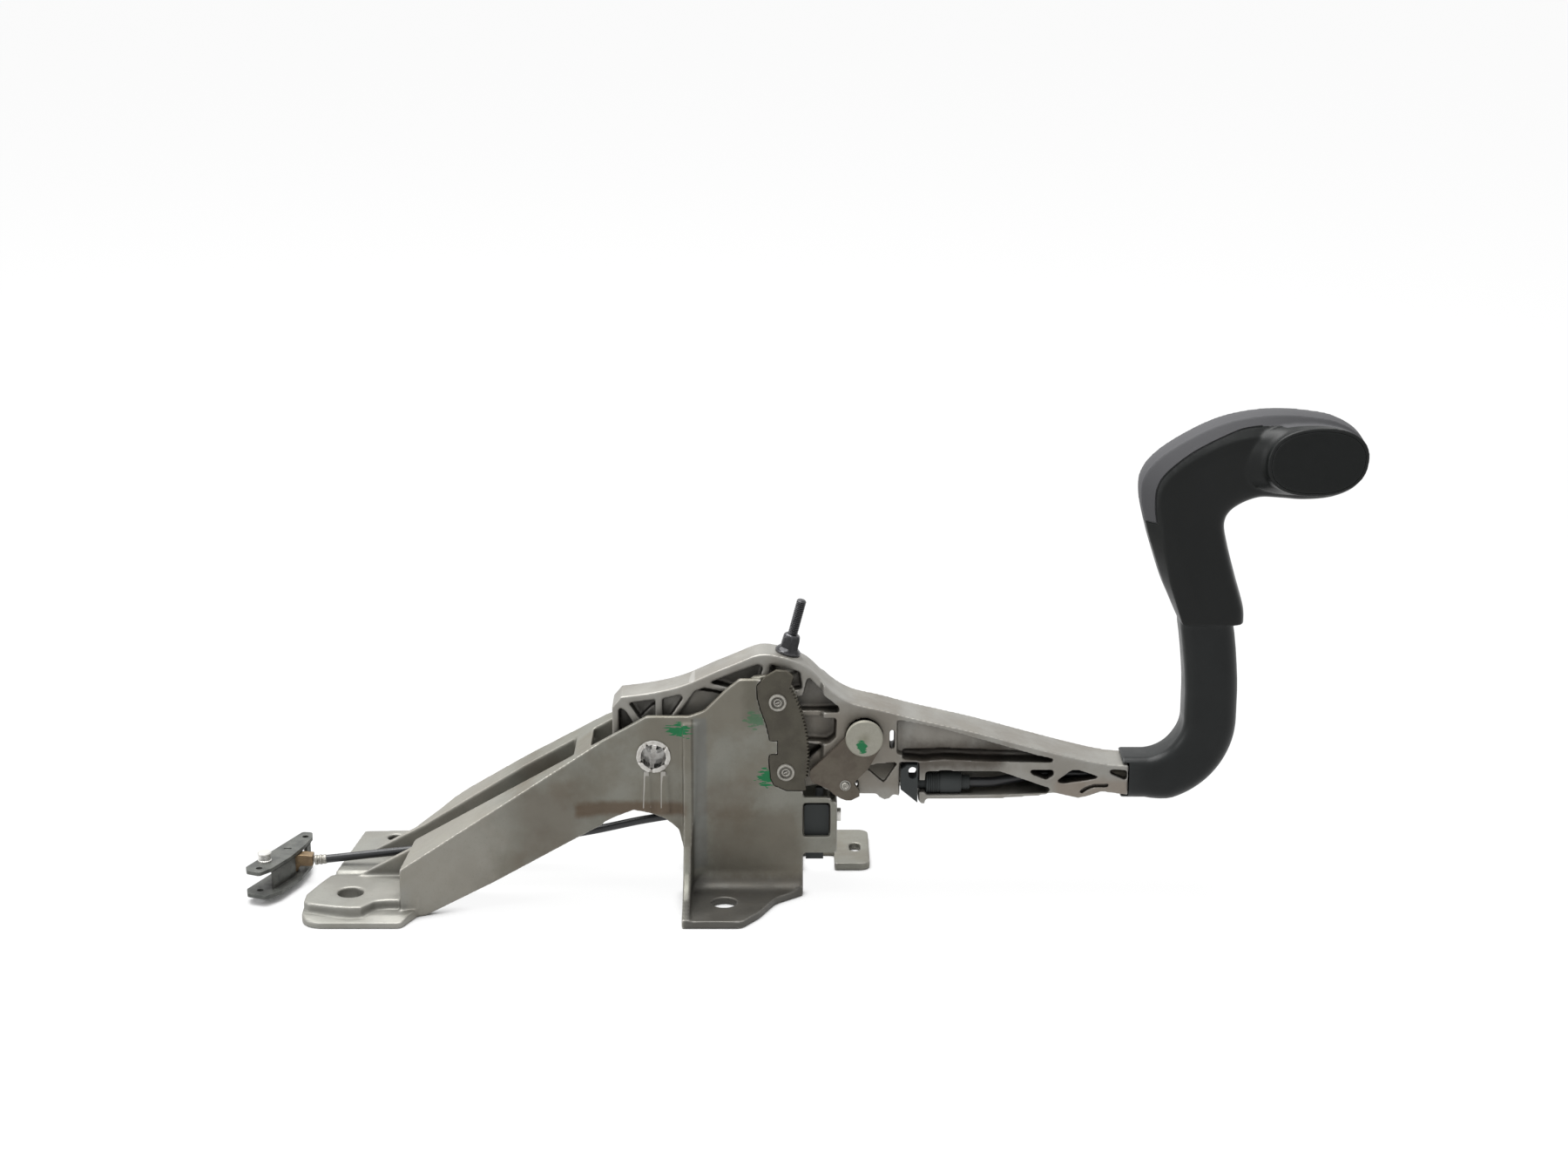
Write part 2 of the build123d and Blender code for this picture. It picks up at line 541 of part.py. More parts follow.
with BuildPart() as lever_arm:
    with BuildSketch(side(LEVER_FRONT_HALF)):
        with BuildLine():
            Spline(*LEVER_TOP)
            Polyline(*LEVER_BOTTOM)
        make_face()
    extrude(amount=2 * LEVER_FRONT_HALF)
    with BuildSketch(plan(30)):
        Polygon(*LEVER_PLAN, align=None)
    extrude(amount=110, mode=Mode.INTERSECT)
    with BuildSketch(side(WEB_NEAR_Y)):
        for pocket in NEAR_POCKETS + TRUSS_HOLES + [FRONT_RECESS, V_NOTCH]:
            Polygon(*pocket, align=None)
    extrude(amount=12, mode=Mode.SUBTRACT)
    with BuildSketch(side(SHALLOW_RECESS_Y)):
        Polygon(*SHALLOW_RECESS, align=None)
    extrude(amount=12, mode=Mode.SUBTRACT)
    with BuildSketch(side(LIP_GROOVE_Y)):
        Polygon(*LIP_GROOVE, align=None)
    extrude(amount=5, mode=Mode.SUBTRACT)
    with BuildSketch(side(20)):
        for pocket in FAR_POCKETS:
            Polygon(*pocket, align=None)
    extrude(amount=20, mode=Mode.SUBTRACT)
    with BuildSketch(side(20)):
        Polygon(*SIGHT_SLOT, align=None)
    extrude(amount=40, mode=Mode.SUBTRACT)
    with BuildSketch(side(9)):
        Polygon(*CABLE_BAY, align=None)
    extrude(amount=30, mode=Mode.SUBTRACT)
    with BuildSketch(side(LEVER_FRONT_HALF)):
        with Locations(PIVOT):
            Circle(HUB_RADIUS)
    extrude(amount=2 * LEVER_FRONT_HALF)
    with BuildSketch(side(5)):
        with Locations(GUIDE_CENTRE):
            Circle(GUIDE_FLANGE)
    extrude(amount=10)
    with BuildSketch(ROD_PLANE.offset(SEAT - 8)):
        Circle(7.6)
    extrude(amount=8)
    with BuildSketch(side(2.6)):
        with Locations(GUIDE_CENTRE):
            Circle(GUIDE_FLANGE + 1)
            Circle(GUIDE_RADIUS - CABLE_RADIUS - 0.1, mode=Mode.SUBTRACT)
    extrude(amount=5.2, mode=Mode.SUBTRACT)
    with BuildSketch(side(2.6)):
        Polygon(*SWING_CUT, align=None)
        with Locations(REAR_TANGENT):
            Circle(CABLE_RADIUS + KNUCKLE_GAP)
    extrude(amount=5.2, mode=Mode.SUBTRACT)
    with BuildSketch(ROD_PLANE.offset(-3)):
        Circle(3.1)
    extrude(amount=SEAT + 20, mode=Mode.SUBTRACT)
    with BuildSketch(side(2)):
        Polygon((86, 48), (134.2, 48), (134.2, 66), (86, 66), align=None)
    extrude(amount=11, mode=Mode.SUBTRACT)
    with BuildSketch(side(0)):
        with Locations((98, 58.2)):
            SlotOverall(11, 7.5)
    extrude(amount=20, mode=Mode.SUBTRACT)
    with BuildSketch(side(-5)):
        with Locations((129.5, 59)):
            Rectangle(9.4, 22)
    extrude(amount=20, mode=Mode.SUBTRACT)
    with BuildSketch(side(20)):
        with Locations((131.3, 53)):
            Rectangle(9, 8)
    extrude(amount=20, mode=Mode.SUBTRACT)
    with BuildSketch(across(132)):
        with Locations((RELEASE_Y, RELEASE_Z)):
            Circle(3.2)
        with Locations((RELEASE_Y - 8, RELEASE_Z)):
            Rectangle(16, 6.4)
    extrude(amount=8, mode=Mode.SUBTRACT)
    with BuildSketch(across(137.8)):
        with Locations((RELEASE_Y, RELEASE_Z)):
            Circle(FERRULE_RADIUS + 0.2)
    extrude(amount=24, mode=Mode.SUBTRACT)
    with BuildSketch(across(186)):
        with Locations((0, STALK_Z)):
            Circle(4.6)
    extrude(amount=40, mode=Mode.SUBTRACT)
    with BuildSketch(across(224)):
        with Locations((0, STALK_Z)):
            Circle(CORE_RADIUS)
    extrude(amount=30, mode=Mode.SUBTRACT)
    with BuildSketch(side(30)):
        with Locations(PIVOT):
            Circle(BUSH_RADIUS)
        with Locations(PAWL_PIN):
            Circle(PAWL_PIN_RADIUS)
    extrude(amount=60, mode=Mode.SUBTRACT)
    with BuildSketch(side(-6)):
        with Locations(PAWL_PIN):
            Circle(9)
    extrude(amount=20, mode=Mode.SUBTRACT)
    with BuildSketch(side(20)):
        Polygon(*EYE_WINDOW, align=None)
    extrude(amount=40, mode=Mode.SUBTRACT)
finish(lever_arm, "lever_arm")

# Two plain bushes pressed into the hub, running on the tube.
with BuildPart() as pivot_bushes:
    with BuildSketch(side(LEVER_FRONT_HALF), side(-6)):
        with Locations(PIVOT):
            Circle(BUSH_RADIUS)
            Circle(TUBE_RADIUS + RUNNING, mode=Mode.SUBTRACT)
    extrude(amount=LEVER_FRONT_HALF - 6)
finish(pivot_bushes, "pivot_bushes")

# Threaded rod on the end of the cable, and the nut that sets the cable's slack.
with BuildPart() as adjuster_rod:
    with BuildSketch(ROD_PLANE.offset(ROD_START)):
        Circle(ROD_RADIUS)
    extrude(amount=ROD_TOP - ROD_START)
    chamfer(adjuster_rod.faces().sort_by(Axis.Z)[-1].edges(), 0.6)
finish(adjuster_rod, "adjuster_rod")

NUT_GAP = 0.3
NUT_FLANGE = 2.0
NUT_HEIGHT = 10.0
with BuildPart() as adjuster_nut:
    with BuildSketch(ROD_PLANE.offset(SEAT + NUT_GAP)):
        Circle(6.6)
    extrude(amount=NUT_FLANGE)
    with BuildSketch(ROD_PLANE.offset(SEAT + NUT_GAP + NUT_FLANGE)):
        RegularPolygon(5.1, 6)
    extrude(amount=NUT_HEIGHT - NUT_FLANGE)
    with BuildSketch(ROD_PLANE.offset(SEAT)):
        Circle(ROD_RADIUS + RUNNING)
    extrude(amount=20, mode=Mode.SUBTRACT)
finish(adjuster_nut, "adjuster_nut")

# Brake cable: the stretch in the lever's guide, then the straight run to the equaliser, which turns on a knuckle.
KNUCKLE_ANGLE = math.degrees((CABLE_RADIUS + KNUCKLE_GAP) / GUIDE_RADIUS)
with BuildPart() as cable_wrap:
    with BuildLine(side(0)):
        Line(along_rod(ROD_START), ROD_FOOT)
        CenterArc(GUIDE_CENTRE, GUIDE_RADIUS, -ROD_ANGLE, -(90 - CABLE_SLOPE - ROD_ANGLE - KNUCKLE_ANGLE))
    with BuildSketch(ROD_PLANE.offset(ROD_START)):
        Circle(CABLE_RADIUS)
    sweep()
finish(cable_wrap, "cable_wrap")

CABLE_DIRECTION = (-math.cos(math.radians(CABLE_SLOPE)), -math.sin(math.radians(CABLE_SLOPE)))
CABLE_PLANE = Plane(
    origin=(PIVOT_X + REAR_TANGENT[0], 0, REAR_TANGENT[1]),
    x_dir=(0, 1, 0),
    z_dir=(CABLE_DIRECTION[0], 0, CABLE_DIRECTION[1]),
)
KNUCKLE_HALF = 2.2
# The cable sags a little between the lever and its straight end in the crimp.
CABLE_SAG = [(-5.5, 34.0), (-40.8, 26.6), (-90, 20.9), (-137.8, 15.9)]
CABLE_END = (-176.0, 11.6)
END_SLOPE = 6.0
END_STRAIGHT = 8.0
END_DIRECTION = (math.cos(math.radians(END_SLOPE)), math.sin(math.radians(END_SLOPE)))
END_START = (CABLE_END[0] + END_STRAIGHT * END_DIRECTION[0], CABLE_END[1] + END_STRAIGHT * END_DIRECTION[1])
CRIMP_LENGTH = 6.0
CRIMP_RADIUS = 2.6

with BuildPart() as brake_cable:
    with BuildLine(side(0)):
        Spline(REAR_TANGENT, *CABLE_SAG, END_START,
               tangents=[CABLE_DIRECTION, (-END_DIRECTION[0], -END_DIRECTION[1])])
        Line(END_START, CABLE_END)
    with BuildSketch(CABLE_PLANE):
        Circle(CABLE_RADIUS)
    sweep()
    with BuildSketch(side(KNUCKLE_HALF)):
        with Locations(REAR_TANGENT):
            Circle(CABLE_RADIUS)
    extrude(amount=2 * KNUCKLE_HALF)
finish(brake_cable, "brake_cable")

END_PLANE = Plane(
    origin=(PIVOT_X + CABLE_END[0], 0, CABLE_END[1]),
    x_dir=(0, 1, 0),
    z_dir=(END_DIRECTION[0], 0, END_DIRECTION[1]),
)
with BuildPart() as cable_crimp:
    with BuildSketch(END_PLANE):
        Circle(CRIMP_RADIUS)
        Circle(CABLE_RADIUS, mode=Mode.SUBTRACT)
    extrude(amount=CRIMP_LENGTH)
finish(cable_crimp, "cable_crimp")

PLATE = 2.0
BLOCK_HALF = 3.2
BLOCK_REAR = -193.0
BLOCK_FRONT = CABLE_END[0] - 0.8
BLOCK_PROFILE = [(BLOCK_REAR, 6.4), (-185, 6.4), (-183.5, 9.4), (BLOCK_FRONT, 9.4), (BLOCK_FRONT, 15), (-185, 15.6),
                 (BLOCK_REAR, 15.6)]
SWIVEL_RADIUS = 2.0
with BuildPart() as cable_end_block:
    with BuildSketch(side(BLOCK_HALF)):
        Polygon(*BLOCK_PROFILE, align=None)
    extrude(amount=2 * BLOCK_HALF)
    with BuildSketch(plan(0)):
        with Locations((EQUALISER_X, 0)):
            Circle(SWIVEL_RADIUS + RUNNING)
    extrude(amount=30, mode=Mode.SUBTRACT)
    fillet(cable_end_block.edges().filter_by(Axis.Z).group_by(Axis.X)[0], 2.2)
finish(cable_end_block, "cable_end_block")

# Folded steel channel that shares the pull between the two rear cables: two shaped flanges and the fold between.
EQUALISER_PLANE = Plane(origin=(PIVOT_X + EQUALISER_X, 0, 0), x_dir=(1, 0, 0), z_dir=(0, 0, 1))
UPPER_FLANGE = [(-5.6, -30), (-2.5, -34), (5, -34), (7.4, -26), (7.6, -9), (5.6, 8), (3, 19), (-0.5, 24.5),
                (-5.6, 23)]
LOWER_FLANGE = [(-5.6, -30), (-2, -35), (8.6, -34.4), (11.6, -24), (10.8, -4), (7, 11.5), (3.6, 18), (-0.5, 24.5),
                (-5.6, 23)]
FOLD_NEAR = [(5.4, -24), (7.4, -24), (7.5, -9), (6.9, -3.6), (4.9, -3.6), (5.5, -9)]
FOLD_FAR = [(3, 10.5), (5, 10.5), (3.7, 16), (1.7, 16)]
FLANGE_CORNER = 2.0
STUD_FOOT = (-1.4, -19.0)
STUD_SHANK = 1.6
NIPPLE_HOLES = [(1.5, -28.5), (-0.6, 18)]


def equaliser_level(z):
    """Plane of a top view at this height, turned with the equaliser about its pin."""
    return EQUALISER_PLANE.rotated((0, 0, EQUALISER_YAW - 90)).offset(z)


with BuildPart() as equaliser_plate:
    with BuildSketch(equaliser_level(EQUALISER_HIGH - PLATE)) as upper_plan:
        Polygon(*UPPER_FLANGE, align=None)
        fillet(upper_plan.vertices(), FLANGE_CORNER)
    extrude(amount=PLATE)
    with BuildSketch(equaliser_level(EQUALISER_LOW)) as lower_plan:
        Polygon(*LOWER_FLANGE, align=None)
        fillet(lower_plan.vertices(), FLANGE_CORNER)
    extrude(amount=PLATE)
    with BuildSketch(equaliser_level(EQUALISER_LOW)):
        Polygon(*FOLD_NEAR, align=None)
        Polygon(*FOLD_FAR, align=None)
    extrude(amount=EQUALISER_HIGH - EQUALISER_LOW)
    with BuildSketch(equaliser_level(EQUALISER_LOW - 1)):
        Circle(SWIVEL_RADIUS)
        with Locations(*NIPPLE_HOLES):
            Circle(1.6)
    extrude(amount=30, mode=Mode.SUBTRACT)
    with BuildSketch(equaliser_level(EQUALISER_HIGH - PLATE)):
        with Locations(STUD_FOOT):
            Circle(STUD_SHANK)
    extrude(amount=PLATE, mode=Mode.SUBTRACT)
finish(equaliser_plate, "equaliser_plate")

# The pin lies flush in both flanges, with a driver's slot on top.
with BuildPart() as equaliser_pin:
    with BuildSketch(EQUALISER_PLANE.offset(EQUALISER_LOW)):
        Circle(SWIVEL_RADIUS)
    extrude(amount=EQUALISER_HIGH - EQUALISER_LOW)
    with BuildSketch(EQUALISER_PLANE.offset(EQUALISER_HIGH - 0.8)):
        Rectangle(4.4, 1.2)
    extrude(amount=2, mode=Mode.SUBTRACT)
finish(equaliser_pin, "equaliser_pin")

# A bright post stands on the upper flange, riveted through it.
with BuildPart() as equaliser_stud:
    with BuildSketch(equaliser_level(EQUALISER_HIGH - PLATE)):
        with Locations(STUD_FOOT):
            Circle(STUD_SHANK)
    extrude(amount=PLATE)
    with BuildSketch(equaliser_level(EQUALISER_HIGH)):
        with Locations(STUD_FOOT):
            Circle(3.5)
    extrude(amount=5)
finish(equaliser_stud, "equaliser_stud")

# Pawl, the pin it turns on, the pin that releases it, and its torsion spring.
PAWL_NEAR_Y = -16.2
PAWL_FAR_Y = -13.2
PAWL_OUTLINE = [
    (95.7, 82.5), (79.4, 66.8), (78.9, 63.7), (80.2, 60.5), (88.1, 57), (91.2, 53.9), (94.8, 51.6), (97.5, 50.6),
    (100.1, 50.6), (104.3, 52.8), (104.3, 55.5), (101.3, 59.9), (108.5, 67.5), (114.5, 78), (110, 88), (101, 88),
]
with BuildPart() as pawl:
    with BuildSketch(side(PAWL_FAR_Y)):
        Polygon(*PAWL_OUTLINE, align=None)
        with Locations(PAWL_PIN):
            Circle(PAWL_PIN_RADIUS + RUNNING, mode=Mode.SUBTRACT)
        with Locations(RELEASE_PIN):
            Circle(RELEASE_PIN_RADIUS, mode=Mode.SUBTRACT)
    extrude(amount=PAWL_FAR_Y - PAWL_NEAR_Y)
finish(pawl, "pawl")

with BuildPart() as pawl_release_pin:
    with BuildSketch(side(RELEASE_Y + 2.4)):
        with Locations(RELEASE_PIN):
            Circle(RELEASE_PIN_RADIUS)
    extrude(amount=RELEASE_Y + 2.4 - PAWL_NEAR_Y)
    with BuildSketch(side(PAWL_NEAR_Y)):
        with Locations(RELEASE_PIN):
            RegularPolygon(2.7, 6)
    extrude(amount=1.6)
finish(pawl_release_pin, "pawl_release_pin")

with BuildPart() as pawl_pin:
    with BuildSketch(side(10)):
        with Locations(PAWL_PIN):
            Circle(PAWL_PIN_RADIUS)
    extrude(amount=26.5)
    with BuildSketch(side(PAWL_NEAR_Y - 0.3)):
        with Locations(PAWL_PIN):
            Circle(PAWL_HEAD_RADIUS)
    extrude(amount=2.3)
    chamfer(pawl_pin.faces().sort_by(Axis.Y)[0].edges(), 0.5)
finish(pawl_pin, "pawl_pin")

SPRING_WIRE = 0.7
with BuildPart() as pawl_spring:
    for turn in range(3):
        with BuildSketch(plan(PAWL_PIN[1])):
            with Locations((PAWL_PIN[0] + 6.6, -7.2 - 1.3 * turn)):
                Circle(SPRING_WIRE)
        revolve(axis=Axis((PIVOT_X + PAWL_PIN[0], 0, PAWL_PIN[1]), (0, 1, 0)))
finish(pawl_spring, "pawl_spring")

# Release cable: block and ferrule in the lever, the wire that pulls the pawl, and the sleeve up to the grip.
with BuildPart() as cable_stop_block:
    with BuildSketch(side(-5.4)):
        Polygon((125.2, 55.8), (133.8, 48.6), (133.8, 68.4), (128.4, 68.4), (125.2, 66), align=None)
    extrude(amount=8.6)
    with BuildSketch(side(1)):
        Polygon((127.6, 55.6), (133.6, 55.6), (133.6, 59.4), (127.6, 59.4), align=None)
    extrude(amount=6.4)
    with BuildSketch(side(2)):
        with Locations((131.2, 64.6)):
            SlotOverall(6.4, 4.2, rotation=90)
    extrude(amount=20, mode=Mode.SUBTRACT)
    with BuildSketch(across(120)):
        with Locations((RELEASE_Y, RELEASE_Z)):
            Circle(1.6)
    extrude(amount=20, mode=Mode.SUBTRACT)
finish(cable_stop_block, "cable_stop_block")

WIRE_END = 150.0
with BuildPart() as release_wire:
    with BuildSketch(side(RELEASE_Y + 1.3)):
        with Locations((97, 57.6)):
            RectangleRounded(10, 12, 3)
        with Locations((97, 58.2)):
            SlotOverall(7.6, 5.4, rotation=90, mode=Mode.SUBTRACT)
    extrude(amount=2.6)
    with BuildSketch(across(101.5)):
        with Locations((RELEASE_Y, RELEASE_Z)):
            Circle(RELEASE_WIRE_RADIUS)
    extrude(amount=WIRE_END - 101.5)
finish(release_wire, "release_wire")

with BuildPart() as release_cable_ferrule:
    with BuildSketch(across(133.8)):
        with Locations((RELEASE_Y, RELEASE_Z)):
            Circle(3.1)
    extrude(amount=5)
    with BuildSketch(across(138.2)):
        with Locations((RELEASE_Y, RELEASE_Z)):
            Circle(FERRULE_RADIUS)
    extrude(amount=18.1)
    with BuildSketch(across(156.3)):
        with Locations((RELEASE_Y, RELEASE_Z)):
            Circle(3.8)
    extrude(amount=4.3)
    with BuildSketch(across(130)):
        with Locations((RELEASE_Y, RELEASE_Z)):
            Circle(1.5)
    extrude(amount=WIRE_END + RELEASE_TRAVEL + 1 - 130, mode=Mode.SUBTRACT)
finish(release_cable_ferrule, "release_cable_ferrule")

STALK_PATH = [(STALK_X, STALK_Z), (STALK_X, 110), (277, 150), (268, 188)]
STALK_RADII = [STALK_BEND, STALK_LEAN, STALK_LEAN]
JACKET_START = 160.6
JACKET_ROUTE = [(JACKET_START, RELEASE_Y, RELEASE_Z), (172, RELEASE_Y, RELEASE_Z), (197, 0, STALK_Z)]
JACKET_TOP = (262.3, 212)
with BuildPart() as release_cable_jacket:
    with BuildLine():
        FilletPolyline(
            *[(PIVOT_X + x, y, z) for x, y, z in JACKET_ROUTE],
            *[(PIVOT_X + x, 0, z) for x, z in STALK_PATH[:-1]],
            (PIVOT_X + JACKET_TOP[0], 0, JACKET_TOP[1]),
            radius=[20, 40] + STALK_RADII,
        )
    with BuildSketch(across(JACKET_START)):
        with Locations((RELEASE_Y, RELEASE_Z)):
            Circle(JACKET_RADIUS)
    sweep()
finish(release_cable_jacket, "release_cable_jacket")

# Handle: steel tube, moulded sleeve on it, and the grip's mouldings.
with BuildPart() as stalk_core:
    with BuildLine(side(0)):
        FilletPolyline((224, STALK_Z), *STALK_PATH, radius=STALK_RADII)
    with BuildSketch(across(224)):
        with Locations((0, STALK_Z)):
            Circle(CORE_RADIUS)
            Circle(CORE_BORE, mode=Mode.SUBTRACT)
    sweep()
finish(stalk_core, "stalk_core")

SLEEVE_START = 237.8
SLEEVE_TOP = (277.94, 142.2)
# The sleeve is flatter where it grips the lever, and its upper and lower lips reach over the lever's end.
SLEEVE_UPPER_CUT = [(230, 80), (230, 70.6), (249, 70.9), (256, 72.2), (261, 75.3), (264.5, 80)]
SLEEVE_LOWER_CUT = [(230, 40), (230, 49), (248, 48.4), (263, 47.5), (263, 40)]
SLEEVE_MOUTH = [(230, 50.6), (241.3, 50.6), (241.3, 69), (230, 69)]
with BuildPart() as handle_sleeve:
    with BuildLine(side(0)):
        FilletPolyline((SLEEVE_START, STALK_Z), *STALK_PATH[:2], SLEEVE_TOP, radius=STALK_RADII[:2])
    with BuildSketch(across(SLEEVE_START)):
        with Locations((0, STALK_Z)):
            RectangleRounded(SLEEVE_WIDTH, SLEEVE_DEPTH, 9)
            Circle(CORE_RADIUS, mode=Mode.SUBTRACT)
    sweep()
    with BuildSketch(side(SLEEVE_WIDTH)):
        for cut in (SLEEVE_UPPER_CUT, SLEEVE_LOWER_CUT, SLEEVE_MOUTH):
            Polygon(*cut, align=None)
    extrude(amount=2 * SLEEVE_WIDTH, mode=Mode.SUBTRACT)
finish(handle_sleeve, "handle_sleeve")

# Outline of the grip in the side view, from the rear of its foot round the top to the front of its foot.
GRIP_CURVE = [
    (263.4, 145.0), (254.3, 165.1), (245.5, 192.8), (242.2, 207.7), (243.7, 218.4), (252.0, 228.7), (269.3, 239.8),
    (286.6, 246.9), (308.4, 250.0), (330.4, 248.2), (343.6, 244.0), (352.2, 236.7), (354.8, 228.2), (353.0, 218.4),
    (347.1, 211.3), (336.9, 206.8), (323.5, 205.4), (303.1, 206.8), (292.9, 203.2), (286.6, 197.3), (285.6, 191.0),
    (288.7, 177.4), (293.9, 158.7), (296.9, 150.9), (298.5, 144.5),
]
GRIP_FOOT = [(298.5, 144.5), (295.6, 141.3), (292.6, 140.6), (292.6, 144.8), (263.4, 145.0)]
COVER_REGION = [
    (235, 195.6), (250.8, 195.6), (249.8, 213.0), (255.0, 221.9), (267.9, 232.0), (285.1, 240.9), (296.0, 244.2),
    (312, 245.0), (330, 243.4), (341, 239.6), (349, 233.5), (362, 238), (340, 262), (300, 262), (230, 240),
]
GRIP_HOLLOW = [
    (269.5, 139), (262.5, 168), (253.5, 196), (253.2, 211.5), (257.5, 219.5), (270, 229.3), (286.5, 237.6),
    (297, 240.6), (312, 241.6), (329, 240.2), (340, 236), (347, 229), (348.5, 225), (345.5, 216.5), (335.5, 210.3),
    (322.5, 208.8), (302, 210.2), (290, 206.2), (282.8, 199), (282, 191), (285, 176.5), (290, 158), (291, 139),
]
GRIP_EDGE = 5.0
BUTTON_BACK_Y = -8.0

with BuildPart() as grip_form:
    with BuildSketch(side(GRIP_HALF)):
        with BuildLine():
            Spline(*GRIP_CURVE)
            Polyline(*GRIP_FOOT)
        make_face()
    extrude(amount=2 * GRIP_HALF)
    fillet(grip_form.faces().filter_by(Axis.Y).edges().filter_by(GeomType.BSPLINE), GRIP_EDGE)

with BuildPart() as grip_top_cover:
    with BuildSketch(side(GRIP_HALF + 5)):
        Polygon(*COVER_REGION, align=None)
    extrude(amount=2 * GRIP_HALF + 10)
    add(grip_form.part, mode=Mode.INTERSECT)
    with BuildSketch(side(BUTTON_BACK_Y)):
        with Locations(BUTTON_CENTRE):
            Ellipse(BUTTON_RADII[0] + 0.4, BUTTON_RADII[1] + 0.4, rotation=2)
    extrude(amount=20, mode=Mode.SUBTRACT)
finish(grip_top_cover, "grip_top_cover")

CRANK_SPAN = (266.0, 322.0)
WEB_Y = -8.0
STEM_Z = 235.4
STEM_X = 318.0
SCREW_PLACES = [(282, 209), (298, 214.8), (287.5, 160)]
with BuildPart() as grip_shell_near:
    add(grip_form.part)
    with BuildSketch(side(KNOB_FACE_Y + 10)):
        with Locations(BUTTON_CENTRE):
            Ellipse(*KNOB_RADII, rotation=2)
    extrude(amount=10)
    fillet(grip_shell_near.faces().sort_by(Axis.Y)[0].edges(), 2)
    with BuildSketch(side(30)):
        with Locations((300, 195)):
            Rectangle(150, 150)
    extrude(amount=30, mode=Mode.SUBTRACT)
    with BuildSketch(side(GRIP_HALF + 5)):
        Polygon(*COVER_REGION, align=None)
    extrude(amount=2 * GRIP_HALF + 5, mode=Mode.SUBTRACT)
    with BuildSketch(side(0)):
        Polygon(*GRIP_HOLLOW, align=None)
    extrude(amount=GRIP_HALF - GRIP_WALL, mode=Mode.SUBTRACT)
    with BuildSketch(side(BUTTON_BACK_Y)):
        with Locations(BUTTON_CENTRE):
            Ellipse(BUTTON_RADII[0] + 0.4, BUTTON_RADII[1] + 0.4, rotation=2)
    extrude(amount=20, mode=Mode.SUBTRACT)
    with BuildSketch(side(WEB_Y + 2)):
        with Locations((STEM_X, 225.3)):
            Rectangle(16, 31)
            with Locations((0, STEM_Z - 225.3)):
                Circle(2.2, mode=Mode.SUBTRACT)
    extrude(amount=2)
    with BuildSketch(side(0)):
        with Locations(*SCREW_PLACES):
            Circle(3.4)
    extrude(amount=GRIP_HALF - GRIP_WALL + 0.5)
    with BuildSketch(side(5)):
        with Locations(*SCREW_PLACES):
            Circle(1.5)
    extrude(amount=15, mode=Mode.SUBTRACT)
finish(grip_shell_near, "grip_shell_near")

with BuildPart() as grip_shell_far:
    add(grip_form.part)
    with BuildSketch(side(0)):
        with Locations((300, 195)):
            Rectangle(150, 150)
    extrude(amount=30, mode=Mode.SUBTRACT)
    with BuildSketch(side(GRIP_HALF + 5)):
        Polygon(*COVER_REGION, align=None)
    extrude(amount=2 * GRIP_HALF + 10, mode=Mode.SUBTRACT)
    with BuildSketch(side(GRIP_HALF - GRIP_WALL)):
        Polygon(*GRIP_HOLLOW, align=None)
    extrude(amount=GRIP_HALF, mode=Mode.SUBTRACT)
    with BuildSketch(side(GRIP_HALF - 1)):
        with Locations(*SCREW_PLACES):
            Circle(3.4)
    extrude(amount=GRIP_HALF - 1)
    with BuildSketch(side(GRIP_HALF - 1)):
        with Locations((CRANK_SPAN[0] - 2.4, CRANK_Z - 3), (CRANK_SPAN[1] + 2.4, CRANK_Z - 3)):
            Rectangle(4, 9)
    extrude(amount=GRIP_HALF - 6)
    with BuildSketch(across(CRANK_SPAN[0] - 4)):
        with Locations((CRANK_Y, CRANK_Z)):
            Circle(1.2)
    extrude(amount=CRANK_SPAN[1] - CRANK_SPAN[0] + 8, mode=Mode.SUBTRACT)
    with BuildSketch(side(GRIP_HALF + 5)):
        with Locations(*SCREW_PLACES):
            Circle(1.5)
    extrude(amount=25, mode=Mode.SUBTRACT)
    with BuildSketch(side(GRIP_HALF + 5)):
        with Locations(*SCREW_PLACES):
            Circle(2.9)
    extrude(amount=8.2, mode=Mode.SUBTRACT)
finish(grip_shell_far, "grip_shell_far")

with BuildPart() as grip_screws:
    with BuildSketch(side(GRIP_HALF - 3.2)):
        with Locations(*SCREW_PLACES):
            Circle(1.5)
    extrude(amount=GRIP_HALF + 4)
    with BuildSketch(side(GRIP_HALF - 1)):
        with Locations(*SCREW_PLACES):
            Circle(2.6)
            Rectangle(4, 0.9, mode=Mode.SUBTRACT)
    extrude(amount=2.2)
finish(grip_screws, "grip_screws")

# Button, its spring, and the bell crank that turns its press into a pull on the wire.
with BuildPart() as release_button:
    with BuildSketch(side(KNOB_FACE_Y + 7)):
        with Locations(BUTTON_CENTRE):
            Ellipse(*BUTTON_RADII, rotation=2)
    extrude(amount=7.6)
    fillet(release_button.faces().sort_by(Axis.Y)[0].edges(), 1.2)
    with BuildSketch(side(CRANK_Y - 3.2)):
        with Locations((STEM_X, STEM_Z)):
            Circle(1.8)
    extrude(amount=CRANK_Y - 3.2 - KNOB_FACE_Y - 6)
finish(release_button, "release_button")

with BuildPart() as button_spring:
    for turn in range(3):
        with BuildSketch(plan(STEM_Z)):
            with Locations((STEM_X + 3.6, -9.2 - 2.6 * turn)):
                Circle(0.5)
        revolve(axis=Axis((PIVOT_X + STEM_X, 0, STEM_Z), (0, 1, 0)))
finish(button_spring, "button_spring")

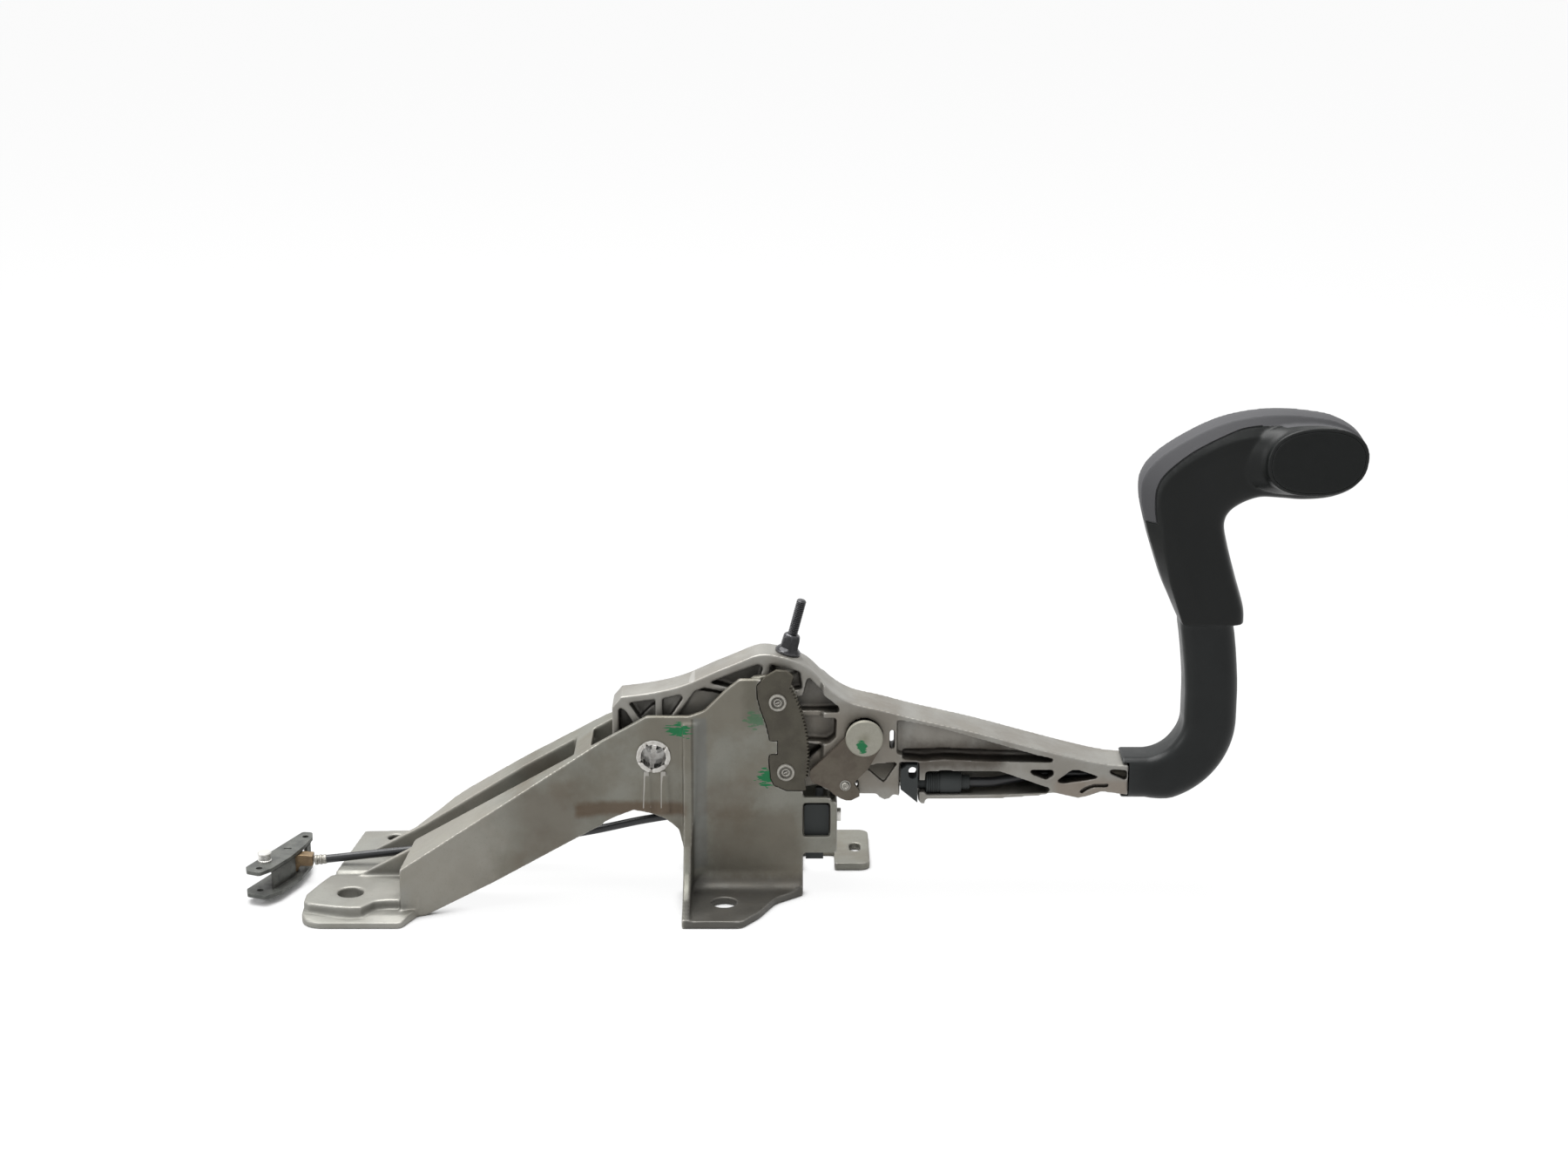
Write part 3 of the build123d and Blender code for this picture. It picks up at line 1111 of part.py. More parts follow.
with BuildPart() as release_crank:
    with BuildSketch(across(CRANK_SPAN[0])):
        with Locations((CRANK_Y, CRANK_Z)):
            Circle(2.4)
    extrude(amount=CRANK_SPAN[1] - CRANK_SPAN[0])
    with BuildSketch(across(CRANK_SPAN[1] - 6)):
        Polygon((CRANK_Y - 2.4, CRANK_Z), (CRANK_Y + 2.4, CRANK_Z), (CRANK_Y + 1, 237.6), (CRANK_Y - 2.4, 237.6),
                align=None)
    extrude(amount=5)
    with BuildSketch(across(CRANK_SPAN[0] + 3)):
        Polygon((CRANK_Y, CRANK_Z + 2.4), (CRANK_Y, CRANK_Z - 2.4), (-4.5, CRANK_Z - 1.8), (-4.5, CRANK_Z + 1.8),
                align=None)
    extrude(amount=5)
    with BuildSketch(across(CRANK_SPAN[0] - 1)):
        with Locations((CRANK_Y, CRANK_Z)):
            Circle(1.2 + RUNNING)
    extrude(amount=CRANK_SPAN[1] - CRANK_SPAN[0] + 2, mode=Mode.SUBTRACT)
finish(release_crank, "release_crank")

with BuildPart() as crank_pin:
    with BuildSketch(across(CRANK_SPAN[0] - 3.6)):
        with Locations((CRANK_Y, CRANK_Z)):
            Circle(1.2)
    extrude(amount=CRANK_SPAN[1] - CRANK_SPAN[0] + 7.2)
finish(crank_pin, "crank_pin")
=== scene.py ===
"""Parking brake lever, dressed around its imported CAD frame.

The frame holds every rigid form in its place. This script rounds the castings, cuts the handle's mouldings, turns
the pins, threads the rod, hangs the cable between lever and equaliser, and gives each piece its finish. Lengths are
millimetres, measured as in the CAD source: x forward from the lever's pivot, y to the far side, z up from the feet.
"""

import logging
import math
from collections.abc import Iterable, Sequence
from dataclasses import dataclass
from enum import Enum

import bmesh
import bpy
from mathutils import Matrix, Vector
from mathutils.bvhtree import BVHTree


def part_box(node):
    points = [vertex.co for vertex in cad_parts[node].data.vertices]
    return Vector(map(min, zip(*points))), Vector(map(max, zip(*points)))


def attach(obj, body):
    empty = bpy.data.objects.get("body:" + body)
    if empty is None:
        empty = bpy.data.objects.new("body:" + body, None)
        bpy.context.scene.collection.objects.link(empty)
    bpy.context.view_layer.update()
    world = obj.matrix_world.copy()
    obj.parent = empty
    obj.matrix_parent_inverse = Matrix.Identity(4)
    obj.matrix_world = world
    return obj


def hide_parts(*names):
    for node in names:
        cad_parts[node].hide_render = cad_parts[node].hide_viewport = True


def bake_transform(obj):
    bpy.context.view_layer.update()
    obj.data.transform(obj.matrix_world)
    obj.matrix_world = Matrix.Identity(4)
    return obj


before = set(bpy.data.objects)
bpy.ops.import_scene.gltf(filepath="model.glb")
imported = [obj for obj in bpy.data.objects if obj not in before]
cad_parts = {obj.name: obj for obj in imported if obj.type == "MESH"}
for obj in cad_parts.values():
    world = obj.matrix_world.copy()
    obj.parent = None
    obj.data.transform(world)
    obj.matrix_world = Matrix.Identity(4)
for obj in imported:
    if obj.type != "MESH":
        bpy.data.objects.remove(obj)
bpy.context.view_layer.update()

LOG = logging.getLogger("parking_brake_lever")
MM = 0.001
PIVOT_X = -73.8
PIVOT_Z = 74.5
Colour = tuple[float, float, float]
Flat = tuple[float, float]
NEAR = Vector((0, -1, 0))
ACROSS = Vector((0, 1, 0))
FORWARD = Vector((1, 0, 0))
UP = Vector((0, 0, 1))

# Line of the brake cable on the lever: centre and radius of its bend in the guide, and lean of the rod in degrees.
GUIDE = (22.4, 68.9)
GUIDE_RADIUS = 30.0
ROD_LEAN = 14.56


def at(x: float, y: float, z: float) -> Vector:
    """Point of the frame, in metres, from millimetres measured from the pivot line."""
    return Vector((x + PIVOT_X, y, z)) * MM


class Body(Enum):
    """Bodies that the pieces of this script ride on."""

    BRACKET = "bracket"
    LEVER = "lever"
    NUT = "nut"
    PAWL = "pawl"
    BUTTON = "button"
    CABLE = "cable"
    EQUALISER = "equaliser"


class Grain(Enum):
    """Kinds of surface relief."""

    CAST = "cast"
    ROLLED = "rolled"
    MOULDED = "moulded"
    LEATHER = "leather"
    SMOOTH = "smooth"


class NodeSheet:
    """Writes the node tree of one material."""

    def __init__(self, name: str) -> None:
        """Start a material with its shader.

        Args:
            name: Name of the material.
        """
        self.material = bpy.data.materials.new(name)
        self.material.use_nodes = True
        self.tree = self.material.node_tree
        self.shader = self.tree.nodes["Principled BSDF"]
        self.place = self.node("ShaderNodeTexCoord").outputs["Object"]

    def feed(self, socket: bpy.types.NodeSocket, value: object) -> None:
        """Link a socket to a socket, or set it to a value.

        Args:
            socket: The input that is fed.
            value: A socket or a value.
        """
        if isinstance(value, bpy.types.NodeSocket):
            self.tree.links.new(value, socket)
        else:
            socket.default_value = value

    def node(self, kind: str, settings: dict | None = None, **inputs: object) -> bpy.types.Node:
        """Add a node.

        Args:
            kind: Blender's name of the node type.
            settings: Properties of the node.
            inputs: Values or sockets for its inputs, with _ for a space.

        Returns:
            The new node.
        """
        made = self.tree.nodes.new(kind)
        for name, value in (settings or {}).items():
            setattr(made, name, value)
        for name, value in inputs.items():
            self.feed(made.inputs[name.replace("_", " ")], value)
        return made

    def math(self, operation: str, first: object, second: object = 0.0) -> bpy.types.NodeSocket:
        """Add a math node.

        Args:
            operation: Blender's name of the operation.
            first: First value or socket.
            second: Second value or socket.

        Returns:
            The result.
        """
        made = self.node("ShaderNodeMath", {"operation": operation})
        self.feed(made.inputs[0], first)
        self.feed(made.inputs[1], second)
        return made.outputs[0]

    def ramp(self, value: object, low: float, high: float, start: float = 0.0,
             end: float = 1.0) -> bpy.types.NodeSocket:
        """Map a value between two limits smoothly onto start to end.

        Args:
            value: Value or socket.
            low: Its lower limit.
            high: Its upper limit.
            start: Result at the lower limit.
            end: Result at the upper limit.

        Returns:
            The result.
        """
        made = self.node("ShaderNodeMapRange", {"interpolation_type": "SMOOTHSTEP"})
        for index, number in enumerate((value, low, high, start, end)):
            self.feed(made.inputs[index], number)
        return made.outputs[0]

    def noise(self, size: float, detail: float = 4.0, stretch: Sequence[float] = (1, 1, 1)) -> bpy.types.NodeSocket:
        """Noise whose patches are about this many millimetres across, drawn out by the stretch.

        Args:
            size: Width of a patch.
            detail: Detail of the noise.
            stretch: How much wider a patch is along x, y and z.

        Returns:
            The noise, 0 to 1.
        """
        scaled = self.node("ShaderNodeMapping", Vector=self.place, Scale=[1 / (size * MM * s) for s in stretch])
        made = self.node("ShaderNodeTexNoise", Vector=scaled.outputs[0], Scale=1.0, Detail=detail, Roughness=0.6)
        return made.outputs["Fac"]

    def mix(self, share: object, first: object, second: object) -> bpy.types.NodeSocket:
        """Mix two colours.

        Args:
            share: Share of the second.
            first: First colour.
            second: Second colour.

        Returns:
            The mix.
        """
        made = self.node("ShaderNodeMix", {"data_type": "RGBA"})
        self.feed(made.inputs[0], share)
        self.feed(made.inputs[6], first)
        self.feed(made.inputs[7], second)
        return made.outputs[2]

    def bump(self, height: object, depth: float, under: object = None) -> bpy.types.NodeSocket:
        """Relief of this depth in millimetres, over another relief if one is given.

        Args:
            height: Height of the relief, 0 to 1.
            depth: Its depth.
            under: Normal of the other relief.

        Returns:
            The normal.
        """
        made = self.node("ShaderNodeBump", Height=height, Strength=1.0, Distance=depth * MM)
        if under is not None:
            self.feed(made.inputs["Normal"], under)
        return made.outputs[0]


@dataclass(frozen=True)
class Dab:
    """Brush mark of assembly paint on the near side.

    Attributes:
        place: Its x and z.
        size: Its width and height.
        frayed: How far its edge frays.
        cover: How well it hides what is under it.
    """

    place: Flat
    size: Flat
    frayed: float = 2.5
    cover: float = 1.0


@dataclass(frozen=True)
class StainOrShade:
    """Soft-edged patch of another tone on the near side: real discolouring, or a band of painted shade.

    Attributes:
        low: Its lowest x and z.
        high: Its highest x and z.
        soft: Width of its fading edge in millimetres.
        colour: Its colour.
        share: How much of it shows.
    """

    low: Flat
    high: Flat
    soft: float
    colour: Colour
    share: float


@dataclass(frozen=True)
class Finish:
    """Surface of one kind of piece.

    Attributes:
        name: Name of the material.
        slot: Material slot of the record that it belongs to. It is not used.
        colour: Main colour.
        shade: Colour of its darker patches.
        worn_and_lit: Colour of its edges, partly wear and partly a painted highlight.
        worn_and_lit_share: How much of that colour shows.
        metallic: Metallic value of the shader.
        roughness: Lowest and highest roughness.
        patch: Width of a patch of shade in millimetres.
        patchy: Share of shade in the patches.
        grain: Kind of relief.
        grain_size: Width of a grain in millimetres.
        grain_depth: Depth of the relief in millimetres.
        specular: Specular level of the shader.
        pocket_shade: Share of painted shade in the corners of its pockets.
        stains_and_shade: Patches of another tone on it, real discolouring and painted shade.
        dabs: Paint marks on it.
    """

    name: str
    slot: str
    colour: Colour
    shade: Colour
    worn_and_lit: Colour
    worn_and_lit_share: float
    metallic: float
    roughness: Flat
    patch: float
    patchy: float
    grain: Grain
    grain_size: float
    grain_depth: float
    specular: float = 0.5
    pocket_shade: float = 0.0
    stains_and_shade: tuple[StainOrShade, ...] = ()
    dabs: tuple[Dab, ...] = ()

    def relief(self, sheet: NodeSheet) -> bpy.types.NodeSocket:
        """Write the relief of this finish.

        Args:
            sheet: Node sheet of the material.

        Returns:
            The normal.
        """
        if self.grain is Grain.CAST:
            skin = sheet.bump(sheet.noise(self.grain_size * 6, 5), self.grain_depth * 2)
            return sheet.bump(sheet.noise(self.grain_size, 3), self.grain_depth, skin)
        if self.grain is Grain.ROLLED:
            lines = sheet.bump(sheet.noise(self.grain_size, 3, (12, 12, 1)), self.grain_depth)
            return sheet.bump(sheet.noise(self.grain_size * 3, 4), self.grain_depth, lines)
        if self.grain is Grain.LEATHER:
            scaled = sheet.node("ShaderNodeMapping", Vector=sheet.place, Scale=[1 / (self.grain_size * MM)] * 3)
            cells = sheet.node("ShaderNodeTexVoronoi", {"feature": "SMOOTH_F1"}, Vector=scaled.outputs[0], Scale=1.0)
            skin = sheet.bump(cells.outputs["Distance"], self.grain_depth)
            return sheet.bump(sheet.noise(self.grain_size * 0.5, 3), self.grain_depth * 0.6, skin)
        if self.grain is Grain.MOULDED:
            return sheet.bump(sheet.noise(self.grain_size, 2), self.grain_depth)
        return sheet.bump(sheet.noise(self.grain_size, 1), self.grain_depth * 0.3)

    def stain_or_shade_share(self, sheet: NodeSheet, tone_patch: StainOrShade) -> bpy.types.NodeSocket:
        """Write where a patch of another tone or of painted shade shows.

        Args:
            sheet: Node sheet of the material.
            tone_patch: The patch.

        Returns:
            Its share, 0 to the patch's own.
        """
        parts = sheet.node("ShaderNodeSeparateXYZ", Vector=sheet.place)
        wobble = sheet.math("MULTIPLY", sheet.math("SUBTRACT", sheet.noise(9, 4), 0.5), tone_patch.soft * MM)
        share = tone_patch.share
        for axis, index, shift in (("X", 0, PIVOT_X), ("Z", 1, 0.0)):
            middle = (tone_patch.low[index] + tone_patch.high[index]) / 2 + shift
            half = (tone_patch.high[index] - tone_patch.low[index]) / 2
            off = sheet.math("ABSOLUTE", sheet.math("SUBTRACT", parts.outputs[axis], middle * MM))
            off = sheet.math("ADD", off, wobble)
            share = sheet.math("MULTIPLY", sheet.ramp(off, half * MM, (half + tone_patch.soft) * MM, 1.0, 0.0), share)
        return share

    def paint_share(self, sheet: NodeSheet, dab: Dab) -> bpy.types.NodeSocket:
        """Write where a paint mark covers the surface.

        Args:
            sheet: Node sheet of the material.
            dab: The mark.

        Returns:
            Share of paint, 0 to its cover.
        """
        centre = at(dab.place[0], 0, dab.place[1])
        moved = sheet.node("ShaderNodeVectorMath", {"operation": "SUBTRACT"})
        sheet.feed(moved.inputs[0], sheet.place)
        sheet.feed(moved.inputs[1], centre)
        scaled = sheet.node("ShaderNodeVectorMath", {"operation": "MULTIPLY"})
        sheet.feed(scaled.inputs[0], moved.outputs[0])
        sheet.feed(scaled.inputs[1], (2 / (dab.size[0] * MM), 0, 2 / (dab.size[1] * MM)))
        reach = sheet.node("ShaderNodeVectorMath", {"operation": "LENGTH"})
        sheet.feed(reach.inputs[0], scaled.outputs[0])
        fray = sheet.math("MULTIPLY", sheet.math("SUBTRACT", sheet.noise(1.6, 4, (3.2, 1, 0.8)), 0.5), dab.frayed)
        edge = sheet.math("ADD", reach.outputs["Value"], fray)
        normal = sheet.node("ShaderNodeSeparateXYZ", Vector=sheet.node("ShaderNodeNewGeometry").outputs["Normal"])
        facing = sheet.math("LESS_THAN", normal.outputs["Y"], NEAR_SIDE)
        return sheet.math("MULTIPLY", sheet.ramp(edge, 0.95, 0.75, 0.0, dab.cover), facing)

    def material(self) -> bpy.types.Material:
        """Build the material, or return it if it is there already.

        Returns:
            The material.
        """
        if self.name in bpy.data.materials:
            return bpy.data.materials[self.name]
        sheet = NodeSheet(self.name)
        patches = sheet.ramp(sheet.noise(self.patch, 5), 0.42, 0.62, 0.0, self.patchy)
        colour = sheet.mix(patches, (*self.colour, 1), (*self.shade, 1))
        for tone_patch in self.stains_and_shade:
            colour = sheet.mix(self.stain_or_shade_share(sheet, tone_patch), colour, (*tone_patch.colour, 1))
        speckle = sheet.ramp(sheet.noise(0.9, 4), 0.58, 0.72, 0.0, 0.5 * self.patchy)
        colour = sheet.mix(speckle, colour, (*self.shade, 1))
        # Convex edges take a lighter colour: partly wear, partly a painted highlight.
        bend = sheet.node("ShaderNodeNewGeometry").outputs["Pointiness"]
        edges = sheet.math("MULTIPLY", sheet.ramp(bend, *WORN_AND_LIT_BEND), self.worn_and_lit_share)
        colour = sheet.mix(edges, colour, (*self.worn_and_lit, 1))
        # Painted shade: the corners of pockets are darkened where ambient occlusion finds them closed in.
        if self.pocket_shade:
            open_share = sheet.node("ShaderNodeAmbientOcclusion", {"only_local": True, "samples": 6},
                                    Distance=POCKET_REACH * MM).outputs["AO"]
            painted_shade = sheet.ramp(open_share, 0.2, 0.9, self.pocket_shade, 0.0)
            colour = sheet.mix(painted_shade, colour, (*POCKET_SHADE, 1))
        rough = sheet.ramp(sheet.noise(self.patch * 0.4, 4), 0.3, 0.7, *self.roughness)
        for dab in self.dabs:
            share = self.paint_share(sheet, dab)
            colour = sheet.mix(share, colour, (*PAINT_GREEN, 1))
            rough = sheet.math("MAXIMUM", rough, sheet.math("MULTIPLY", share, PAINT_ROUGHNESS))
        sheet.feed(sheet.shader.inputs["Base Color"], colour)
        sheet.feed(sheet.shader.inputs["Roughness"], rough)
        sheet.feed(sheet.shader.inputs["Normal"], self.relief(sheet))
        sheet.shader.inputs["Metallic"].default_value = self.metallic
        sheet.shader.inputs["Specular IOR Level"].default_value = self.specular
        return sheet.material


# Paint and painted light: reach in millimetres of the painted shade in pockets, pointiness from which an edge takes
# its wear and painted highlight, and the y of a normal that faces near.
PAINT_GREEN = (0.012, 0.15, 0.055)
PAINT_ROUGHNESS = 0.55
NEAR_SIDE = -0.6
POCKET_SHADE = (0.02, 0.017, 0.014)
POCKET_REACH = 11.0
WORN_AND_LIT_BEND = (0.515, 0.58)
BRACKET_DABS = (
    Dab((13.0, 88.8), (12.5, 7.0), 3.4),
    Dab((51.0, 94.5), (10.0, 9.5), 3.6, 0.5),
    Dab((56.8, 63.4), (8.5, 9.0), 3.0),
)
BRACKET_STAINS_AND_SHADE = (
    StainOrShade((-126, 0), (-92, 60), 26, (0.302, 0.288, 0.252), 0.65),
    StainOrShade((-190, -4), (-126, 13), 7, (0.288, 0.288, 0.27), 0.5),
    StainOrShade((18, -6), (78, 7.5), 5, (0.072, 0.069, 0.063), 0.85),
    StainOrShade((-62, 28), (-44, 56), 14, (0.11, 0.085, 0.06), 0.45),
    StainOrShade((-38, 44.8), (14, 48.2), 4, (0.094, 0.058, 0.032), 0.75),
    # Painted shade: a darker blue-grey band where the near wall steps back, with a dark line along the step's sharp
    # edge.
    StainOrShade((21.2, 16), (26, 94), 2.2, (0.144, 0.153, 0.15), 0.55),
    StainOrShade((19.4, 10), (20.0, 94), 0.7, (0.05, 0.045, 0.035), 0.6),
    # Brown tone, with painted shade on the panel just above the foot.
    StainOrShade((34, 14), (70, 40), 12, (0.101, 0.083, 0.058), 0.6),
    StainOrShade((30, 46), (44, 58), 10, (0.108, 0.086, 0.061), 0.4),
    StainOrShade((50, 96), (60, 116), 8, (0.086, 0.079, 0.058), 0.5),
)
LEVER_STAINS_AND_SHADE = (
    # Painted shade in the recess under the lever's top flank.
    StainOrShade((132, 70), (174, 74), 9, (0.06, 0.048, 0.036), 0.85),
    StainOrShade((206, 50), (240, 58), 5, (0.2, 0.15, 0.11), 0.5),
    StainOrShade((80, 60), (120, 94), 10, (0.15, 0.127, 0.097), 0.55),
)
CAST_ALUMINIUM = Finish("cast_aluminium_bracket", "cast_aluminium", (0.208, 0.206, 0.177), (0.16, 0.146, 0.115),
                        (0.488, 0.47, 0.443), 0.6, 0.55, (0.42, 0.6), 34, 0.75, Grain.CAST, 0.8, 0.035,
                        pocket_shade=0.8, stains_and_shade=BRACKET_STAINS_AND_SHADE, dabs=BRACKET_DABS)
LEVER_ALUMINIUM = Finish("cast_aluminium_lever", "cast_aluminium", (0.2855, 0.2787, 0.2549), (0.2107, 0.1937, 0.1666),
                         (0.4215, 0.4147, 0.3943), 0.6, 0.55, (0.38, 0.58), 30, 0.6, Grain.CAST, 0.7, 0.03,
                         pocket_shade=0.92, stains_and_shade=LEVER_STAINS_AND_SHADE)
ROLLED_STEEL = Finish("rolled_steel", "steel_plate", (0.077, 0.07, 0.0525), (0.0507, 0.0438, 0.0333),
                      (0.2275, 0.21, 0.1837), 0.0, 0.5, (0.42, 0.6), 14, 0.6, Grain.ROLLED, 0.5, 0.02)
PAWL_STEEL = Finish("pawl_steel", "steel_plate", (0.1098, 0.0941, 0.0725), (0.0784, 0.0617, 0.048),
                    (0.3528, 0.3234, 0.294), 0.0, 0.5, (0.4, 0.6), 9, 0.6, Grain.ROLLED, 0.5, 0.02)
BRIGHT_STEEL = Finish("bright_steel", "bright_steel", (0.496, 0.488, 0.456), (0.288, 0.272, 0.248),
                      (0.64, 0.632, 0.608), 0.5, 0.75, (0.25, 0.42), 3, 0.5, Grain.ROLLED, 0.3, 0.012)
TUBE_STEEL = Finish("tube_steel", "bright_steel", (0.496, 0.48, 0.448), (0.24, 0.216, 0.192),
                    (0.68, 0.672, 0.64), 0.6, 0.6, (0.25, 0.5), 4, 0.6, Grain.ROLLED, 0.4, 0.02)
RIVET_STEEL = Finish("rivet_steel", "bright_steel", (0.3, 0.2888, 0.255), (0.15, 0.1387, 0.1162),
                     (0.465, 0.45, 0.4125), 0.6, 0.6, (0.35, 0.5), 1.6, 0.7, Grain.CAST, 0.4, 0.02, pocket_shade=0.95)
PIN_STEEL = Finish("pin_head_steel", "bright_steel", (0.2339, 0.2274, 0.1734), (0.1693, 0.1588, 0.121),
                   (0.5, 0.4838, 0.4516), 0.3, 0.5, (0.45, 0.6), 3, 0.35, Grain.CAST, 0.5, 0.012,
                   dabs=(Dab((105.3, 80.6), (6.6, 7.4), 1.8),))
BLACK_OXIDE = Finish("black_oxide", "black_steel", (0.018, 0.018, 0.02), (0.01, 0.01, 0.011),
                     (0.16, 0.16, 0.17), 0.5, 0.4, (0.18, 0.38), 3, 0.5, Grain.SMOOTH, 0.4, 0.01)
SLEEVE_PLASTIC = Finish("sleeve_plastic", "handle_plastic", (0.0126, 0.0142, 0.0142), (0.0093, 0.0105, 0.0105),
                        (0.0405, 0.0429, 0.0437), 0.3, 0.0, (0.34, 0.42), 22, 0.5, Grain.MOULDED, 0.45, 0.02,
                        specular=0.2)
SHELL_PLASTIC = Finish("shell_plastic", "handle_plastic", (0.008, 0.0091, 0.0088), (0.006, 0.0069, 0.0066),
                       (0.033, 0.0347, 0.0352), 0.4, 0.0, (0.32, 0.42), 20, 0.5, Grain.MOULDED, 0.5, 0.02,
                       specular=0.2)
COVER_PLASTIC = Finish("cover_plastic", "cover_plastic", (0.035, 0.0405, 0.0395), (0.027, 0.031, 0.0305),
                       (0.08, 0.082, 0.085), 0.3, 0.0, (0.5, 0.6), 18, 0.5, Grain.LEATHER, 0.7, 0.05)
BUTTON_PLASTIC = Finish("button_plastic", "handle_plastic", (0.0092, 0.0104, 0.0101), (0.007, 0.0081, 0.0077),
                        (0.0462, 0.0486, 0.0493), 0.5, 0.0, (0.45, 0.55), 12, 0.4, Grain.MOULDED, 0.35, 0.025,
                        specular=0.17)
BLACK_PLASTIC = Finish("black_plastic", "black_plastic", (0.0096, 0.0108, 0.012), (0.0066, 0.0072, 0.0078),
                       (0.036, 0.0372, 0.039), 0.4, 0.0, (0.35, 0.5), 6, 0.5, Grain.MOULDED, 0.4, 0.015, specular=0.2)
CABLE_SHEATH = Finish("cable_sheath", "cable_black", (0.014, 0.015, 0.017), (0.01, 0.011, 0.012),
                      (0.05, 0.052, 0.055), 0.2, 0.0, (0.3, 0.42), 6, 0.4, Grain.SMOOTH, 0.6, 0.02)
PHOSPHATE = Finish("equaliser_phosphate", "equaliser_paint", (0.112, 0.1155, 0.105), (0.0525, 0.056, 0.0525),
                   (0.231, 0.238, 0.224), 0.0, 0.45, (0.38, 0.55), 9, 0.7, Grain.CAST, 0.6, 0.02, pocket_shade=0.9)
TAN_BLOCK = Finish("end_block_brass", "brass_block", (0.24, 0.168, 0.092), (0.128, 0.084, 0.048),
                   (0.48, 0.416, 0.304), 0.0, 0.5, (0.4, 0.55), 4, 0.6, Grain.CAST, 0.5, 0.015)
PAD_RUBBER = Finish("pad_rubber", "rubber_pad", (0.02, 0.02, 0.02), (0.014, 0.014, 0.014),
                    (0.04, 0.04, 0.04), 0.3, 0.0, (0.7, 0.85), 4, 0.5, Grain.MOULDED, 0.5, 0.02)


class Form:
    """Mesh tools of this script. Each returns an object, or changes the one that it is given."""

    @staticmethod
    def from_bmesh(work: bmesh.types.BMesh, name: str) -> bpy.types.Object:
        """Turn a bmesh into an object of the scene.

        Args:
            work: The bmesh, which is freed.
            name: Name of the object.

        Returns:
            The object.
        """
        bmesh.ops.recalc_face_normals(work, faces=work.faces)
        mesh = bpy.data.meshes.new(name)
        work.to_mesh(mesh)
        work.free()
        made = bpy.data.objects.new(name, mesh)
        bpy.context.scene.collection.objects.link(made)
        return made

    @staticmethod
    def rings(name: str, rings: Sequence[Sequence[Vector]], ends: bool = True) -> bpy.types.Object:
        """Skin over rings of points.

        Args:
            name: Name of the piece.
            rings: Closed rings with as many points each.
            ends: Whether the first and the last ring are closed by a face.

        Returns:
            The object.
        """
        work = bmesh.new()
        rows = [[work.verts.new(point) for point in ring] for ring in rings]
        count = len(rows[0])
        for low, high in zip(rows, rows[1:]):
            for index in range(count):
                after = (index + 1) % count
                work.faces.new((low[index], low[after], high[after], high[index]))
        if ends:
            work.faces.new(rows[0])
            work.faces.new(rows[-1])
        return Form.from_bmesh(work, name)

    @staticmethod
    def turned(name: str, profile: Sequence[Flat], frame_of: Matrix, steps: int = 48) -> bpy.types.Object:
        """Turn a profile about an axis.

        Args:
            name: Name of the piece.
            profile: Radius and height of each ring, in millimetres, from one end to the other.
            frame_of: Places the axis, which is the profile's z.
            steps: Points round a ring.

        Returns:
            The object.
        """
        rings = []
        for radius, height in profile:
            rings.append([
                frame_of @ (Vector((radius * math.cos(angle), radius * math.sin(angle), height)) * MM)
                for angle in round_angles(steps)
            ])
        return Form.rings(name, rings)

    @staticmethod
    def prism(name: str, outline: Sequence[Flat], near: float, far: float) -> bpy.types.Object:
        """Side-view outline stretched from one y to another.

        Args:
            name: Name of the object.
            outline: x and z of its corners.
            near: y of one end.
            far: y of the other end.

        Returns:
            The object.
        """
        rings = [[at(x, y, z) for x, z in outline] for y in (near, far)]
        return Form.rings(name, rings)

    @staticmethod
    def of_node(name: str, node: str) -> bpy.types.Object:
        """Copy of a CAD node's mesh, with its split points merged.

        Args:
            name: Name of the copy.
            node: The CAD node.

        Returns:
            The copy.
        """
        work = bmesh.new()
        work.from_mesh(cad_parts[node].data)
        bmesh.ops.remove_doubles(work, verts=work.verts, dist=0.002 * MM)
        return Form.from_bmesh(work, name)

    @staticmethod
    def settle(piece: bpy.types.Object) -> None:
        """Apply the modifiers of a piece to its mesh.

        Args:
            piece: The piece.
        """
        graph = bpy.context.evaluated_depsgraph_get()
        mesh = bpy.data.meshes.new_from_object(piece.evaluated_get(graph))
        piece.modifiers.clear()
        piece.data = mesh

    @staticmethod
    def modify(piece: bpy.types.Object, kind: str, **settings: object) -> None:
        """Run one modifier over a piece.

        Args:
            piece: The piece.
            kind: Blender's name of the modifier type.
            settings: Its settings.
        """
        made = piece.modifiers.new(kind.lower(), kind)
        for name, value in settings.items():
            setattr(made, name, value)
        bpy.context.view_layer.update()
        Form.settle(piece)

    @staticmethod
    def join(piece: bpy.types.Object, others: Iterable[bpy.types.Object]) -> None:
        """Put other objects' meshes into a piece and remove them.

        Args:
            piece: The piece.
            others: The other objects.
        """
        work = bmesh.new()
        work.from_mesh(piece.data)
        for other in others:
            work.from_mesh(other.data)
            bpy.data.objects.remove(other)
        work.to_mesh(piece.data)
        work.free()

    @staticmethod
    def weld(piece: bpy.types.Object, gap: float, speck: float = 0.0) -> None:
        """Merge the points of a piece that nearly meet.

        Args:
            piece: The piece.
            gap: Width in millimetres within which points merge.
            speck: Edges shorter than this many millimetres are cleared too.
        """
        work = bmesh.new()
        work.from_mesh(piece.data)
        bmesh.ops.remove_doubles(work, verts=work.verts, dist=gap * MM)
        if speck:
            bmesh.ops.dissolve_degenerate(work, edges=work.edges, dist=speck * MM)
        work.to_mesh(piece.data)
        work.free()

